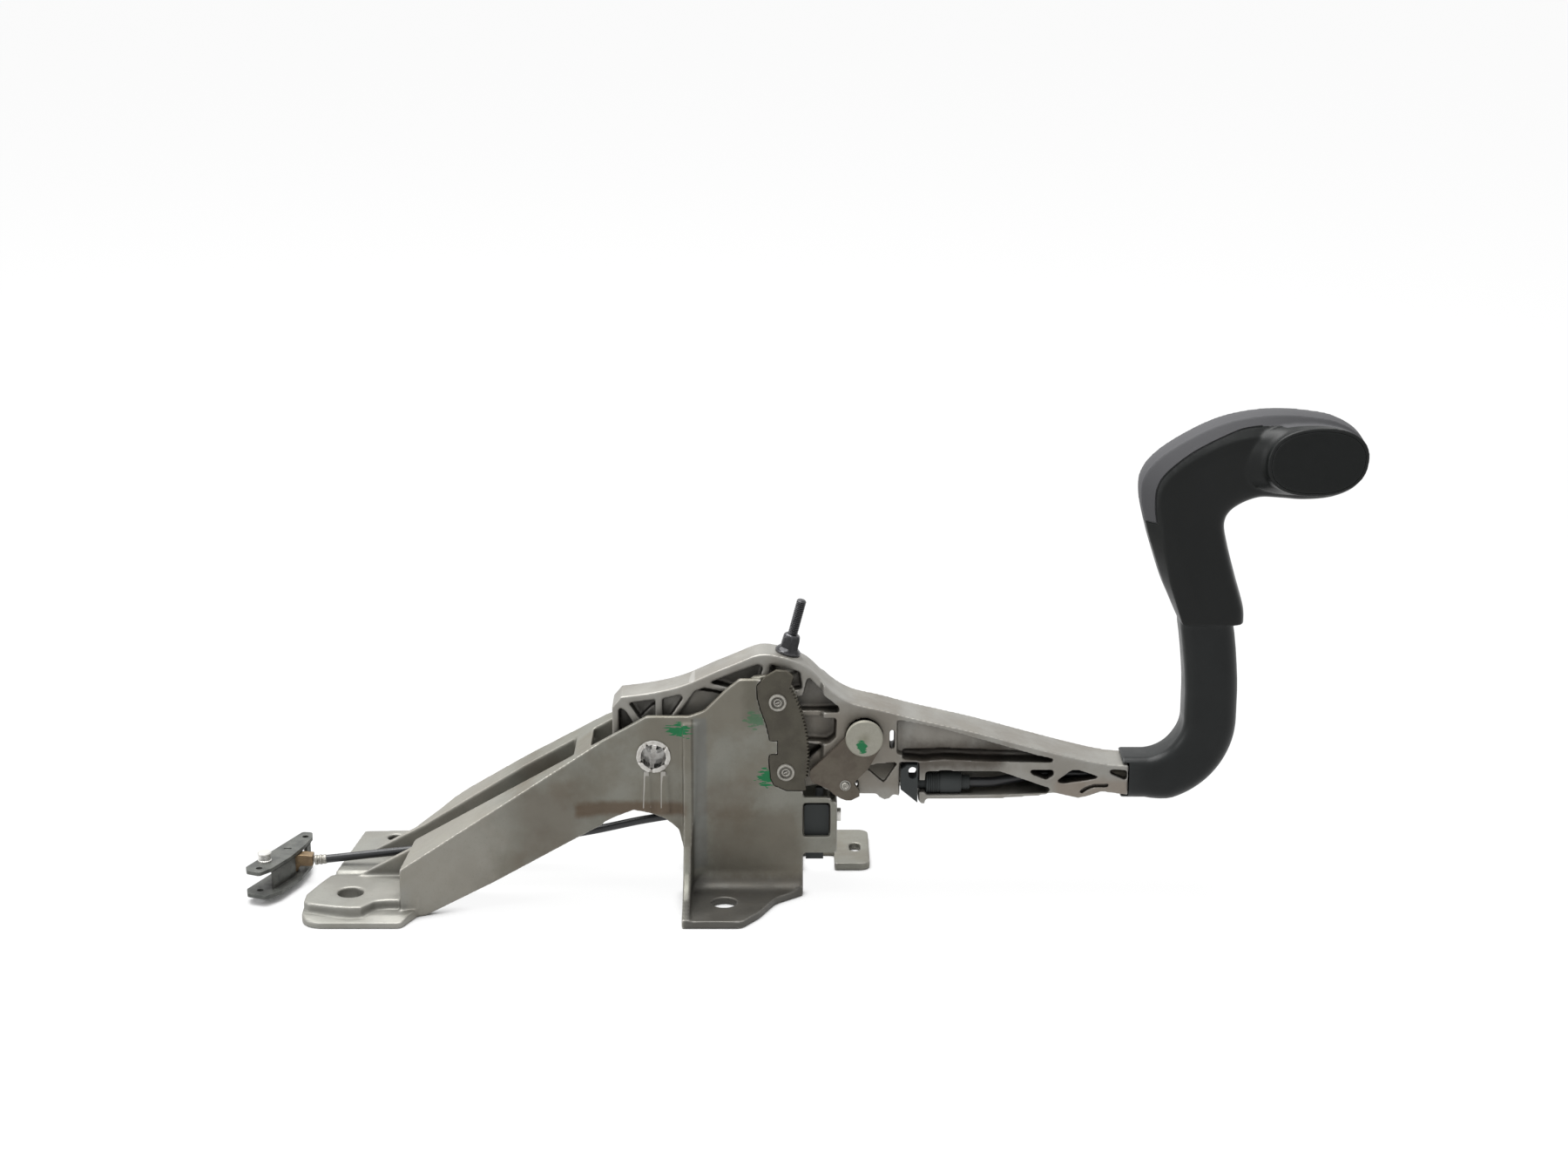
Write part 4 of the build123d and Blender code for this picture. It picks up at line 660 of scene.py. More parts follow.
    @staticmethod
    def rounded_casting(piece: bpy.types.Object, voxel: float, passes: int, keep: float) -> None:
        """Melt a piece into one skin with rounded edges, as a casting's.

        Args:
            piece: The piece.
            voxel: Width of a cell in millimetres.
            passes: Smoothing passes.
            keep: Share of the faces that is kept.
        """
        Form.modify(piece, "REMESH", mode="VOXEL", voxel_size=voxel * MM)
        Form.modify(piece, "SMOOTH", factor=0.5, iterations=passes)
        if keep < 1:
            Form.modify(piece, "DECIMATE", ratio=keep)

    @staticmethod
    def eased(name: str, node: str, width: float, segments: int = 2) -> bpy.types.Object:
        """Copy of a CAD node whose sharp edges are eased by a small round.

        Args:
            name: Name of the copy.
            node: The CAD node.
            width: Width of the round in millimetres.
            segments: Facets of the round.

        Returns:
            The copy.
        """
        piece = Form.of_node(name, node)
        Form.modify(piece, "DECIMATE", decimate_type="DISSOLVE", angle_limit=math.radians(1.5))
        Form.modify(piece, "BEVEL", width=width * MM, segments=segments, limit_method="ANGLE",
                    angle_limit=math.radians(40), use_clamp_overlap=True)
        return piece

    @staticmethod
    def cut(piece: bpy.types.Object, other: bpy.types.Object, operation: str) -> None:
        """Cut a piece with another object, which stays."""
        Form.modify(piece, "BOOLEAN", object=other, operation=operation, solver="EXACT")

    @staticmethod
    def nick(piece: bpy.types.Object, tool: bpy.types.Object) -> None:
        """Cut a fine groove into a piece, and clear the specks that the cut leaves.

        Args:
            piece: The piece. It stays as it was where the cut fails.
            tool: Closed tool that only grazes the piece.
        """
        least_kept = 0.9
        uncut = piece.data.copy()
        Form.cut(piece, tool, "DIFFERENCE")
        if len(piece.data.polygons) < least_kept * len(uncut.polygons):
            piece.data = uncut
            return
        Form.weld(piece, 0.02, 0.005)

    @staticmethod
    def drop(*others: bpy.types.Object) -> None:
        """Remove helper objects."""
        for other in others:
            bpy.data.objects.remove(other)

    @staticmethod
    def dress(piece: bpy.types.Object, body: Body, finish: Finish, nodes: Sequence[str] = (),
              crease: float = 35.0, flat: bool = False) -> None:
        """Give a piece its finish, its body and the nodes that it stands for.

        Args:
            piece: The piece.
            body: Body that it rides on.
            finish: Its finish.
            nodes: CAD nodes that it replaces.
            crease: Angle in degrees over which an edge stays sharp.
            flat: Whether its large faces keep their own normal, as on a stamped plate.
        """
        piece.data.materials.clear()
        piece.data.materials.append(finish.material())
        piece.data.shade_smooth()
        piece.data.set_sharp_from_angle(angle=math.radians(crease))
        if flat:
            Form.modify(piece, "WEIGHTED_NORMAL", keep_sharp=True)
        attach(piece, body.value)
        if nodes:
            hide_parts(*nodes)
        LOG.info("%s rides on %s, %d faces", piece.name, body.value, len(piece.data.polygons))

    @staticmethod
    def dress_eased(name: str, node: str, width: float, body: Body, finish: Finish, segments: int = 2,
                    **look: object) -> None:
        """Let an eased copy of a CAD node stand for it.

        Args:
            name: Name of the copy.
            node: The CAD node.
            width: Width of the round on its edges in millimetres.
            body: Body that it rides on.
            finish: Its finish.
            segments: Facets of the round.
            look: Crease and flat of dress.
        """
        Form.dress(Form.eased(name, node, width, segments), body, finish, [node], **look)

    @staticmethod
    def dress_node(node: str, finish: Finish) -> None:
        """Give a CAD node that stays its finish.

        Args:
            node: The CAD node.
            finish: Its finish.
        """
        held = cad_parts[node]
        held.data.materials.clear()
        held.data.materials.append(finish.material())
        for polygon in held.data.polygons:
            polygon.material_index = 0
        LOG.info("%s keeps its solid", node)


def facing(x: float, y: float, z: float, direction: Vector) -> Matrix:
    """Placement whose z runs along a direction from a point.

    Args:
        x: x of the point.
        y: y of the point.
        z: z of the point.
        direction: The direction.

    Returns:
        The placement.
    """
    turn = direction.normalized().to_track_quat("Z", "Y").to_matrix().to_4x4()
    return Matrix.Translation(at(x, y, z)) @ turn


def round_angles(steps: int) -> list[float]:
    """Angles of this many even steps round a circle."""
    return [2 * math.pi * step / steps for step in range(steps)]


def smooth_line(points: Sequence[Sequence[float]], steps: int) -> list[list[float]]:
    """Points on a smooth curve through the given ones, with this many steps between two of them.

    Args:
        points: The given points, of any dimension.
        steps: Steps between two of them.

    Returns:
        The points of the curve.
    """
    last = len(points) - 1
    line = []
    for index in range(last):
        before, start = points[max(index - 1, 0)], points[index]
        end, after = points[index + 1], points[min(index + 2, last)]
        for step in range(steps):
            t = step / steps
            line.append([
                0.5 * (2 * b + (c - a) * t + (2 * a - 5 * b + 4 * c - d) * t**2 + (3 * b - a - 3 * c + d) * t**3)
                for a, b, c, d in zip(before, start, end, after)
            ])
    line.append(list(points[last]))
    return line


def ring_about(centre: Vector, side: Vector, top: Vector, radius: float, steps: int) -> list[Vector]:
    """Circle of points in the plane of two unit vectors, with a radius in millimetres.

    Args:
        centre: Its centre.
        side: First unit vector.
        top: Second unit vector.
        radius: Its radius.
        steps: Number of points.

    Returns:
        The points.
    """
    return [
        centre + (side * math.cos(angle) + top * math.sin(angle)) * radius * MM for angle in round_angles(steps)
    ]


def tube(name: str, line: Sequence[Vector], radius: float, steps: int = 24,
         steady: Vector = ACROSS) -> bpy.types.Object:
    """Round tube along a line of points that stays clear of one steady direction.

    Args:
        name: Name of the object.
        line: Points of its centre line.
        radius: Its radius in millimetres.
        steps: Points round it.
        steady: Direction that the line never takes.

    Returns:
        The object.
    """
    rings = []
    for index, point in enumerate(line):
        ahead = line[min(index + 1, len(line) - 1)] - line[max(index - 1, 0)]
        side = steady - ahead.normalized() * ahead.normalized().dot(steady)
        top = ahead.cross(side).normalized()
        rings.append(ring_about(point, side.normalized(), top, radius, steps))
    return Form.rings(name, rings)


@dataclass
class BracketAssembly:
    """Cast bracket with its pivot tube, toothed sector, rivets and warning switch.

    Attributes:
        voxel: Cell of the casting's skin.
        passes: Smoothing passes of the casting's skin.
        keep: Share of the casting's faces that is kept.
        rivets: Places of the sector's rivets.
        rivet_face: y of the sector's near face.
        tube_radius: Outer radius of the pivot tube.
        bore: Inner radius of the pivot tube.
        stake: Radius to which the tube's ends are staked.
        wall: y of the walls' outer faces, to each side.
        dents: Where the staking tool dented the tube's ends, in degrees.
        dent_width: Width of such a dent in degrees.
        ribs: Side view of the two short ribs under the tube.
        rib_rise: How far the ribs stand out.
    """

    voxel: float = 0.75
    passes: int = 5
    keep: float = 0.3
    rivets: tuple[Flat, ...] = ((62.8, 103.3), (66.9, 66.0))
    rivet_face: float = -16.5
    tube_radius: float = 8.0
    bore: float = 6.25
    stake: float = 8.6
    wall: float = 16.5
    dents: tuple[float, ...] = (38.0, 118.0, 204.0, 262.0, 322.0)
    dent_width: float = 4.5
    ribs: tuple[tuple[Flat, ...], ...] = (
        ((-4.9, 66.6), (-2.4, 66.6), (-1.4, 46.6), (-5.7, 46.6)),
        ((3.6, 66.6), (6.2, 66.6), (7.4, 46.6), (3.4, 46.6)),
    )
    rib_rise: float = 0.7

    def casting(self) -> None:
        """Round the bracket's casting."""
        piece = Form.of_node("bracket_casting", "base_bracket")
        Form.rounded_casting(piece, self.voxel, self.passes, self.keep)
        ribs = []
        for outline in self.ribs:
            rib = Form.prism("rib", outline, 0.5 - self.wall, -self.wall - self.rib_rise)
            Form.modify(rib, "BEVEL", width=0.3 * MM, segments=2)
            ribs.append(rib)
        Form.join(piece, ribs)
        Form.dress(piece, Body.BRACKET, CAST_ALUMINIUM, ["base_bracket"], 60)

    def pivot_tube(self) -> None:
        """Make the pivot tube with its staked, notched ends."""
        steps = 144
        halves = []
        for side in (-1, 1):
            rings = []
            ring_shape = ((self.bore, 0.0), (self.bore + 0.15, 0.8), (7.1, 1.0), (8.0, 0.9), (self.stake, 0.55),
                          (self.stake, 0.0), (self.tube_radius, -0.2), (self.tube_radius, -12.0), (self.bore, -12.0))
            for radius, rise in ring_shape:
                ring = []
                for step in range(steps):
                    degrees = 360 * step / steps
                    dent = max(math.exp(-(((degrees - place + 180) % 360 - 180) / self.dent_width) ** 2)
                               for place in self.dents)
                    ripple = 0.12 * math.sin(degrees * 0.21) * math.sin(degrees * 0.087 + side)
                    inner = dent * 0.9 * max(0.0, 1 - (radius - self.bore) / 1.6) if rise > -0.1 else 0.0
                    lower = rise - dent * 0.7 * (1 if rise > 0.3 else 0)
                    reach = radius + inner + (ripple if rise > 0.3 else 0)
                    angle = math.radians(degrees)
                    ring.append(at(reach * math.cos(angle), side * (self.wall + lower),
                                   PIVOT_Z + reach * math.sin(angle)))
                rings.append(ring)
            rings.append(rings[0])
            halves.append(Form.rings(f"staked_end_{side}", rings, ends=False))
        inside = Form.rings("tube_bore", [
            ring_about(at(0, y, PIVOT_Z), FORWARD, UP, self.bore, steps) for y in (-self.wall, self.wall)
        ], ends=False)
        piece = halves[0]
        piece.name = "pivot_tube_staked"
        Form.join(piece, [halves[1], inside])
        Form.weld(piece, 0.01)
        Form.dress(piece, Body.BRACKET, TUBE_STEEL, ["pivot_tube"], 30)

    def sector(self) -> None:
        """Ease the toothed sector and set its two rivets."""
        Form.dress_eased("sector_plate", "ratchet_sector", 0.15, Body.BRACKET, ROLLED_STEEL, crease=30, flat=True)
        profile = [(2.4, -6.0), (2.4, 0.02), (4.5, 0.02), (4.5, 0.7), (4.3, 1.1), (3.8, 1.35), (3.3, 1.25),
                   (3.0, 0.7), (2.7, 0.3), (2.4, 0.35), (2.1, 0.75), (1.5, 0.8), (1.2, 0.4), (0.9, 0.15),
                   (0.001, 0.1)]
        heads = []
        for x, z in self.rivets:
            heads.append(Form.turned("rivet", profile, facing(x, self.rivet_face, z, NEAR)))
            bar = Form.prism("rivet_mark", [(x - 0.9, z - 0.7), (x + 1.1, z + 0.3), (x + 0.8, z + 0.8),
                                            (x - 1.2, z - 0.2)], self.rivet_face - 0.05, self.rivet_face - 0.65)
            heads.append(bar)
        piece = heads[0]
        piece.name = "sector_rivet_heads"
        Form.join(piece, heads[1:])
        Form.dress(piece, Body.BRACKET, RIVET_STEEL, ["sector_rivets"], 30)

    def switch(self) -> None:
        """Dress the warning switch and the lever's stop pad."""
        Form.dress_eased("switch_housing", "switch_body", 0.6, Body.BRACKET, BLACK_PLASTIC, flat=True)
        Form.dress_eased("stop_pad", "lever_stop_bumper", 0.4, Body.BRACKET, PAD_RUBBER)
        Form.dress_node("switch_plunger", BLACK_PLASTIC)
        Form.dress_node("switch_terminals", BRIGHT_STEEL)
        Form.dress_node("switch_screw", BRIGHT_STEEL)

    def build(self) -> None:
        """Build the whole bracket assembly."""
        self.casting()
        self.pivot_tube()
        self.sector()
        self.switch()


@dataclass
class LeverAssembly:
    """Cast lever with its bushes, pawl, adjuster and release cable parts.

    Attributes:
        voxel: Cell of the casting's skin.
        passes: Smoothing passes of the casting's skin.
        keep: Share of the casting's faces that is kept.
        pin: Place of the pawl's pin.
        pin_face: y on which the pin's head lies.
        pin_head: Radius of the pin's head.
        pin_thick: Thickness of the pin's head.
        pin_length: How deep the pin reaches behind its head.
        release_pin: Place of the small pin that the wire pulls.
        release_face: y on which its head lies.
        release_line: y and z of the release cable's line.
        rod_radius: Radius over the thread of the adjuster rod.
        rod_top: Top of the rod, measured along it.
        rod_start: Lower end of the rod, measured along it.
        thread_depth: Depth of the thread.
        thread_pitch: Pitch of the thread.
        seat: Seat of the nut, measured along the rod.
    """

    voxel: float = 0.7
    passes: int = 4
    keep: float = 0.32
    pin: Flat = (106.5, 84.5)
    pin_face: float = -16.5
    pin_head: float = 9.5
    pin_thick: float = 2.3
    pin_length: float = 26.5
    release_pin: Flat = (97.0, 58.8)
    release_face: float = -16.2
    release_line: Flat = (-6.5, 57.0)
    rod_radius: float = 2.5
    rod_top: float = 94.0
    rod_start: float = 20.0
    thread_depth: float = 0.42
    thread_pitch: float = 0.8
    seat: float = 65.0

    def rod_frame(self, distance: float) -> Matrix:
        """Placement on the rod line, this far up from where the rod leaves the guide.

        Args:
            distance: Distance in millimetres.

        Returns:
            The placement.
        """
        lean = math.radians(ROD_LEAN)
        direction = Vector((math.sin(lean), 0, math.cos(lean)))
        x = GUIDE[0] + GUIDE_RADIUS * math.cos(lean) + distance * direction.x
        z = GUIDE[1] - GUIDE_RADIUS * math.sin(lean) + distance * direction.z
        return facing(x, 0, z, direction)

    def casting(self) -> None:
        """Round the lever's casting."""
        piece = Form.of_node("lever_casting", "lever_arm")
        Form.rounded_casting(piece, self.voxel, self.passes, self.keep)
        Form.dress(piece, Body.LEVER, LEVER_ALUMINIUM, ["lever_arm"], 60)
        Form.dress_node("pivot_bushes", BLACK_PLASTIC)

    def pawl(self) -> None:
        """Make the pawl, its pin and the pin that the wire pulls."""
        Form.dress_eased("pawl_plate", "pawl", 0.35, Body.PAWL, PAWL_STEEL, crease=30, flat=True)
        head = [(4.0, -self.pin_length), (4.0, 0.0), (self.pin_head - 0.3, 0.0), (self.pin_head, 0.3),
                (self.pin_head, self.pin_thick - 0.5), (self.pin_head - 0.45, self.pin_thick - 0.05),
                (self.pin_head - 1.2, self.pin_thick), (0.001, self.pin_thick)]
        piece = Form.turned("pawl_pin_head", head, facing(self.pin[0], self.pin_face, self.pin[1], NEAR), 72)
        Form.dress(piece, Body.LEVER, PIN_STEEL, ["pawl_pin"], 30)
        screw = [(2.2, -12.0), (2.2, 0.0), (2.7, 0.0), (2.7, 0.45), (2.35, 0.55), (2.2, 0.3), (2.05, 0.3),
                 (1.95, 1.2), (1.7, 1.5), (1.2, 1.55), (0.9, 1.2), (0.001, 1.1)]
        piece = Form.turned("pawl_release_pin_head", screw,
                            facing(self.release_pin[0], self.release_face, self.release_pin[1], NEAR), 32)
        Form.dress(piece, Body.PAWL, RIVET_STEEL, ["pawl_release_pin"], 30)
        Form.dress_node("pawl_spring", BLACK_OXIDE)

    def adjuster(self) -> None:
        """Make the adjuster rod with its thread."""
        minor = self.rod_radius - self.thread_depth
        profile = [(minor, self.rod_start)]
        height = self.seat - 10
        profile.append((minor, height))
        while height < self.rod_top - 1.2:
            profile.append((minor, height + 0.1))
            profile.append((self.rod_radius, height + 0.35))
            profile.append((self.rod_radius, height + 0.5))
            height += self.thread_pitch
            profile.append((minor, height))
        profile.append((minor, self.rod_top - 0.3))
        profile.append((minor - 0.5, self.rod_top))
        piece = Form.turned("threaded_rod", profile, self.rod_frame(0), 24)
        Form.dress(piece, Body.LEVER, BLACK_OXIDE, ["adjuster_rod"], 50)

    def nut(self) -> None:
        """Make the flanged nut: a round flange, a hexagon with rounded corners and a chamfered top."""
        low = self.seat + 0.3
        sizes = [(2.55, low, 0.0), (6.4, low, 0.0), (6.6, low + 0.4, 0.0), (6.5, low + 1.1, 0.0),
                 (5.7, low + 2.0, 0.3), (5.05, low + 2.8, 1.0), (4.9, low + 7.6, 1.0), (4.5, low + 8.7, 0.5),
                 (3.8, low + 9.6, 0.0), (3.3, low + 9.9, 0.0), (2.55, low + 9.6, 0.0)]
        base = self.rod_frame(0)
        rings = []
        for radius, height, hexed in sizes:
            ring = []
            for angle in round_angles(72):
                flat = math.cos(math.pi / 6) / math.cos((angle % (math.pi / 3)) - math.pi / 6)
                reach = radius * (1 + hexed * (min(flat, 0.985) - 1))
                ring.append(base @ (Vector((reach * math.cos(angle), reach * math.sin(angle), height)) * MM))
            rings.append(ring)
        rings.append(rings[0])
        piece = Form.rings("adjuster_nut_flanged", rings, ends=False)
        Form.dress(piece, Body.NUT, BLACK_OXIDE, ["adjuster_nut"], 40)

    def release_parts(self) -> None:
        """Make the stop block, the ribbed ferrule and the release cable's sleeve."""
        Form.dress_eased("release_stop_block", "cable_stop_block", 0.35, Body.LEVER, BLACK_PLASTIC, flat=True)
        profile = [(3.1, 133.8), (3.1, 138.2), (5.1, 138.2)]
        for rib in range(6):
            start = 138.6 + 1.1 * rib
            profile += [(5.55, start), (5.55, start + 0.5), (5.0, start + 0.6), (5.0, start + 0.95)]
        profile += [(5.3, 145.6), (5.6, 146.2), (5.6, 155.0), (5.2, 156.1), (3.8, 156.4), (3.7, 160.2), (3.3, 160.6),
                    (0.001, 160.6)]
        y, z = self.release_line
        piece = Form.turned("ribbed_ferrule", profile, facing(0, y, z, FORWARD), 40)
        Form.dress(piece, Body.LEVER, BLACK_PLASTIC, ["release_cable_ferrule"])
        Form.dress_node("release_cable_jacket", CABLE_SHEATH)
        Form.dress_node("release_wire", BRIGHT_STEEL)

    def build(self) -> None:
        """Build the whole lever assembly."""
        self.casting()
        self.pawl()
        self.adjuster()
        self.nut()
        self.release_parts()


@dataclass
class HandleAssembly:
    """Goose-neck handle: sleeve, grip shells, top cover and button.

    Attributes:
        sleeve_start: x at which the sleeve starts on the lever.
        stalk_z: z of the sleeve's middle there.
        width: Width of the sleeve across the handle.
        depth: Depth of the sleeve in side view.
        bend_centre: Centre of the sleeve's bend.
        bend_radius: Radius of the bend to the sleeve's middle.
        flat_reach: Reach of the flatter start towards the inside and the outside of the bend.
        mouth: Side view of the room for the lever's end.
        grip_half: Half the width of the grip.
        seam: Half the gap between the two shells.
        voxel: Cell of the grip's skin.
        passes: Smoothing passes of the grip's skin.
        stations: x and z of the grip's outer side, x and z of its inner side, and its girth, from the sleeve up.
        chamfer: Reach of the rear chamfer at the sleeve, and how much it shrinks up to the bend.
        knob_centre: Middle of the knob and of the button.
        knob_rim: Half width and half height of the knob's rim.
        knob_face: y of the knob's face.
        fullness: Power that fills out the oval; 1 is an ellipse.
        skew: How far the oval leans forward towards its top.
        button: Half width and half height of the button.
        button_gap: Gap round the button.
        button_well: y of the floor of the button's well.
        button_back: y of the button's back.
        cover_edge: Lower edge of the top cover in side view, from its rear corner forward.
        cover_back: Outline of the cover's region outside the grip.
        knob_front: Outline of the near side of the knob, which is the near shell's.
        knob_back: y at which that side ends.
        split: Outline round the whole grip, for its halves.
        groove_radius: Radius of the groove on the cover's edge.
        groove_end: x at which the groove ends on the near and on the far side.
        rear_share: Share of the grip's width that the groove crosses at its rear.
    """

    sleeve_start: float = 237.8
    stalk_z: float = 59.2
    width: float = 25.0
    depth: float = 27.0
    bend_centre: Flat = (249.8, 91.2)
    bend_radius: float = 32.0
    flat_reach: Flat = (11.7, 10.8)
    mouth: tuple[Flat, ...] = ((230, 50.6), (241.3, 50.6), (241.3, 69.0), (230, 69.0))
    grip_half: float = 14.9
    seam: float = 0.16
    voxel: float = 0.7
    passes: int = 5
    knob_centre: Flat = (327.0, 229.5)
    knob_rim: Flat = (24.9, 17.4)
    fullness: float = 0.86
    skew: float = 0.09
    button: Flat = (22.7, 15.5)
    button_gap: float = 0.16
    knob_face: float = -24.0
    button_well: float = -13.4
    button_back: float = -19.2
    stations: tuple[tuple[float, float, float, float, float], ...] = (
        (264.3, 142.7, 297.2, 141.6, 0.93),
        (261.4, 148.9, 297.0, 148.2, 0.96),
        (258.5, 155.5, 295.1, 155.4, 0.98),
        (254.3, 165.1, 291.7, 166.5, 1.0),
        (249.6, 179.0, 288.2, 178.9, 1.0),
        (245.5, 192.8, 285.6, 190.6, 1.0),
        (242.4, 207.7, 286.1, 196.2, 1.0),
        (243.7, 218.4, 288.4, 200.0, 1.0),
        (252.0, 228.7, 292.2, 202.9, 1.0),
        (269.3, 239.8, 297.0, 205.2, 1.0),
        (286.6, 246.9, 303.1, 206.7, 1.0),
        (308.4, 250.0, 312.0, 206.2, 1.0),
        (330.4, 248.2, 323.5, 205.4, 1.0),
        (341.0, 245.0, 336.9, 206.8, 0.98),
        (349.0, 240.0, 347.1, 211.3, 0.92),
        (353.6, 233.5, 352.6, 218.0, 0.8),
    )
    chamfer: Flat = (0.93, 0.34)
    cover_edge: tuple[Flat, ...] = (
        (250.6, 195.6), (249.5, 205.0), (250.3, 214.0), (255.2, 221.9), (267.9, 232.0), (285.1, 240.9),
        (296.0, 244.2), (312, 245.0), (330, 243.4), (341, 239.6), (349, 233.5), (358, 226),
    )
    cover_back: tuple[Flat, ...] = ((366, 240), (340, 262), (300, 262), (230, 240), (235, 195.6))
    knob_front: tuple[Flat, ...] = ((300.5, 205), (353.5, 205), (353.5, 250), (300.5, 250))
    knob_back: float = -15.4
    split: tuple[Flat, ...] = ((200, 100), (400, 100), (400, 300), (200, 300))
    groove_radius: float = 0.57
    groove_end: Flat = (303.0, 332.0)
    rear_share: float = 0.9

    def sleeve_ring(self, centre: Vector, out: Vector, inner: float, outer: float) -> list[Vector]:
        """Rounded section of the sleeve.

        Args:
            centre: Middle of the section.
            out: Unit vector towards the outside of the bend.
            inner: Reach towards the inside of the bend in millimetres.
            outer: Reach towards the outside of the bend in millimetres.

        Returns:
            Points of the section.
        """
        half = self.width / 2
        ring = []
        for corner, (side, level, radius) in enumerate(((1, 1, 9.0), (-1, 1, 9.0), (-1, -1, 6.0), (1, -1, 6.0))):
            reach = outer if level > 0 else inner
            for step in range(9):
                angle = math.radians(90 * corner + 90 * step / 8)
                across = side * (half - radius) + radius * math.cos(angle)
                level_out = level * (reach - radius) + radius * math.sin(angle)
                ring.append(centre + (Vector((0, across, 0)) + out * level_out) * MM)
        return ring

    def sleeve(self) -> None:
        """Draw the goose-neck sleeve along its bend, flatter at the start, with lips over the lever's end."""
        full = self.depth / 2
        flat_inner, flat_outer = self.flat_reach
        rings = []
        for x, shrink in ((self.sleeve_start, 0.5), (self.sleeve_start + 0.5, 0.1), (self.sleeve_start + 1.2, 0.0),
                          (self.bend_centre[0], 0.0)):
            rings.append(self.sleeve_ring(at(x, 0, self.stalk_z), Vector((0, 0, -1)), flat_inner - shrink,
                                          flat_outer - shrink))
        for step in range(1, 25):
            turn = 90 * step / 24
            angle = math.radians(turn - 90)
            out = Vector((math.cos(angle), 0, math.sin(angle)))
            centre = at(self.bend_centre[0], 0, self.bend_centre[1]) + out * self.bend_radius * MM
            inner = flat_inner + (full - flat_inner) * min(1.0, turn / 53)
            outer = flat_outer + (full - flat_outer) * min(1.0, turn / 17)
            rings.append(self.sleeve_ring(centre, out, inner, outer))
        rise = ((281.8, 100.0, 0.0), (281.8, 106.0, 0.6), (281.55, 112.0, 2.6), (281.0, 119.0, 5.2),
                (280.2, 127.0, 6.8), (279.2, 135.0, 6.9), (278.35, 140.0, 3.0), (278.1, 142.7, -3.0))
        for x, z, lean in rise:
            out = Vector((math.cos(math.radians(lean)), 0, math.sin(math.radians(lean))))
            rings.append(self.sleeve_ring(at(x, 0, z), out, full, full))
        piece = Form.rings("goose_neck_sleeve", rings)
        mouth = Form.prism("mouth", self.mouth, -20, 20)
        Form.cut(piece, mouth, "DIFFERENCE")
        Form.drop(mouth)
        Form.dress(piece, Body.LEVER, SLEEVE_PLASTIC, ["handle_sleeve"], 40)
        Form.dress_node("stalk_core", ROLLED_STEEL)

    def oval(self, centre: Flat, radius: Flat, y: float) -> list[Vector]:
        """Ring of the knob: a full oval that leans forward towards its top.

        Args:
            centre: Its middle, x and z.
            radius: Its half width and half height.
            y: Where it lies across the handle.

        Returns:
            Points of the ring.
        """
        ring = []
        for angle in round_angles(96):
            across, up = math.cos(angle), math.sin(angle)
            x = radius[0] * math.copysign(abs(across) ** self.fullness, across)
            z = radius[1] * math.copysign(abs(up) ** self.fullness, up)
            ring.append(at(centre[0] + x + self.skew * z, y, centre[1] + z))
        return ring

    def section(self, height: float) -> list[Flat]:
        """Near half of the grip's section, whose rear chamfer narrows towards the sleeve.

        Args:
            height: z of the section's outer side.

        Returns:
            Points from the outer side to the inner one, as shares of half the depth and half the width.
        """
        start, growth = self.chamfer
        reach = start - growth * min(1.0, max(0.0, (height - 142) / 54))
        return [(1.0, 0.0), (0.99, 0.3), (0.972, 0.47), (0.965, 0.52), (reach + 0.01, 0.955), (reach - 0.03, 0.985),
                (0.34, 1.0), (0.28, 0.99), (-0.3, 0.885), (-0.72, 0.79), (-0.93, 0.55), (-1.0, 0.0)]

    def grip_blank(self) -> bpy.types.Object:
        """Loft the grip and its knob, and melt them into one skin.

        Returns:
            The blank.
        """
        rings = []
        for outer_x, outer_z, inner_x, inner_z, girth in smooth_line(self.stations, 6):
            near_side = smooth_line(self.section(outer_z), 5)
            loop = near_side[:-1] + [[u, -v] for u, v in reversed(near_side)][:-1]
            centre = at((outer_x + inner_x) / 2, 0, (outer_z + inner_z) / 2)
            reach = at(outer_x, 0, outer_z) - centre
            rings.append([centre + reach * u + Vector((0, -v * self.grip_half * girth * MM, 0)) for u, v in loop])
        blank = Form.rings("grip_blank", rings)
        knob = [
            self.oval((x, z), (radius_x, radius_z), y)
            for x, z, radius_x, radius_z, y in (
                (322, 227.6, 29.0, 17.2, -8), (321.5, 228.2, 30.5, 18.0, -13.0), (323.2, 228.8, 28.0, 17.2, -16.0),
                (325.4, 229.2, 25.6, 16.7, -19.0), (326.7, 229.4, 24.7, 16.9, -21.5),
                (*self.knob_centre, *self.knob_rim, -22.9), (*self.knob_centre, 24.3, 17.0, -23.7),
                (*self.knob_centre, 23.6, 16.4, self.knob_face),
            )
        ]
        Form.join(blank, [Form.rings("knob", knob)])
        Form.rounded_casting(blank, self.voxel, self.passes, 1.0)
        return blank

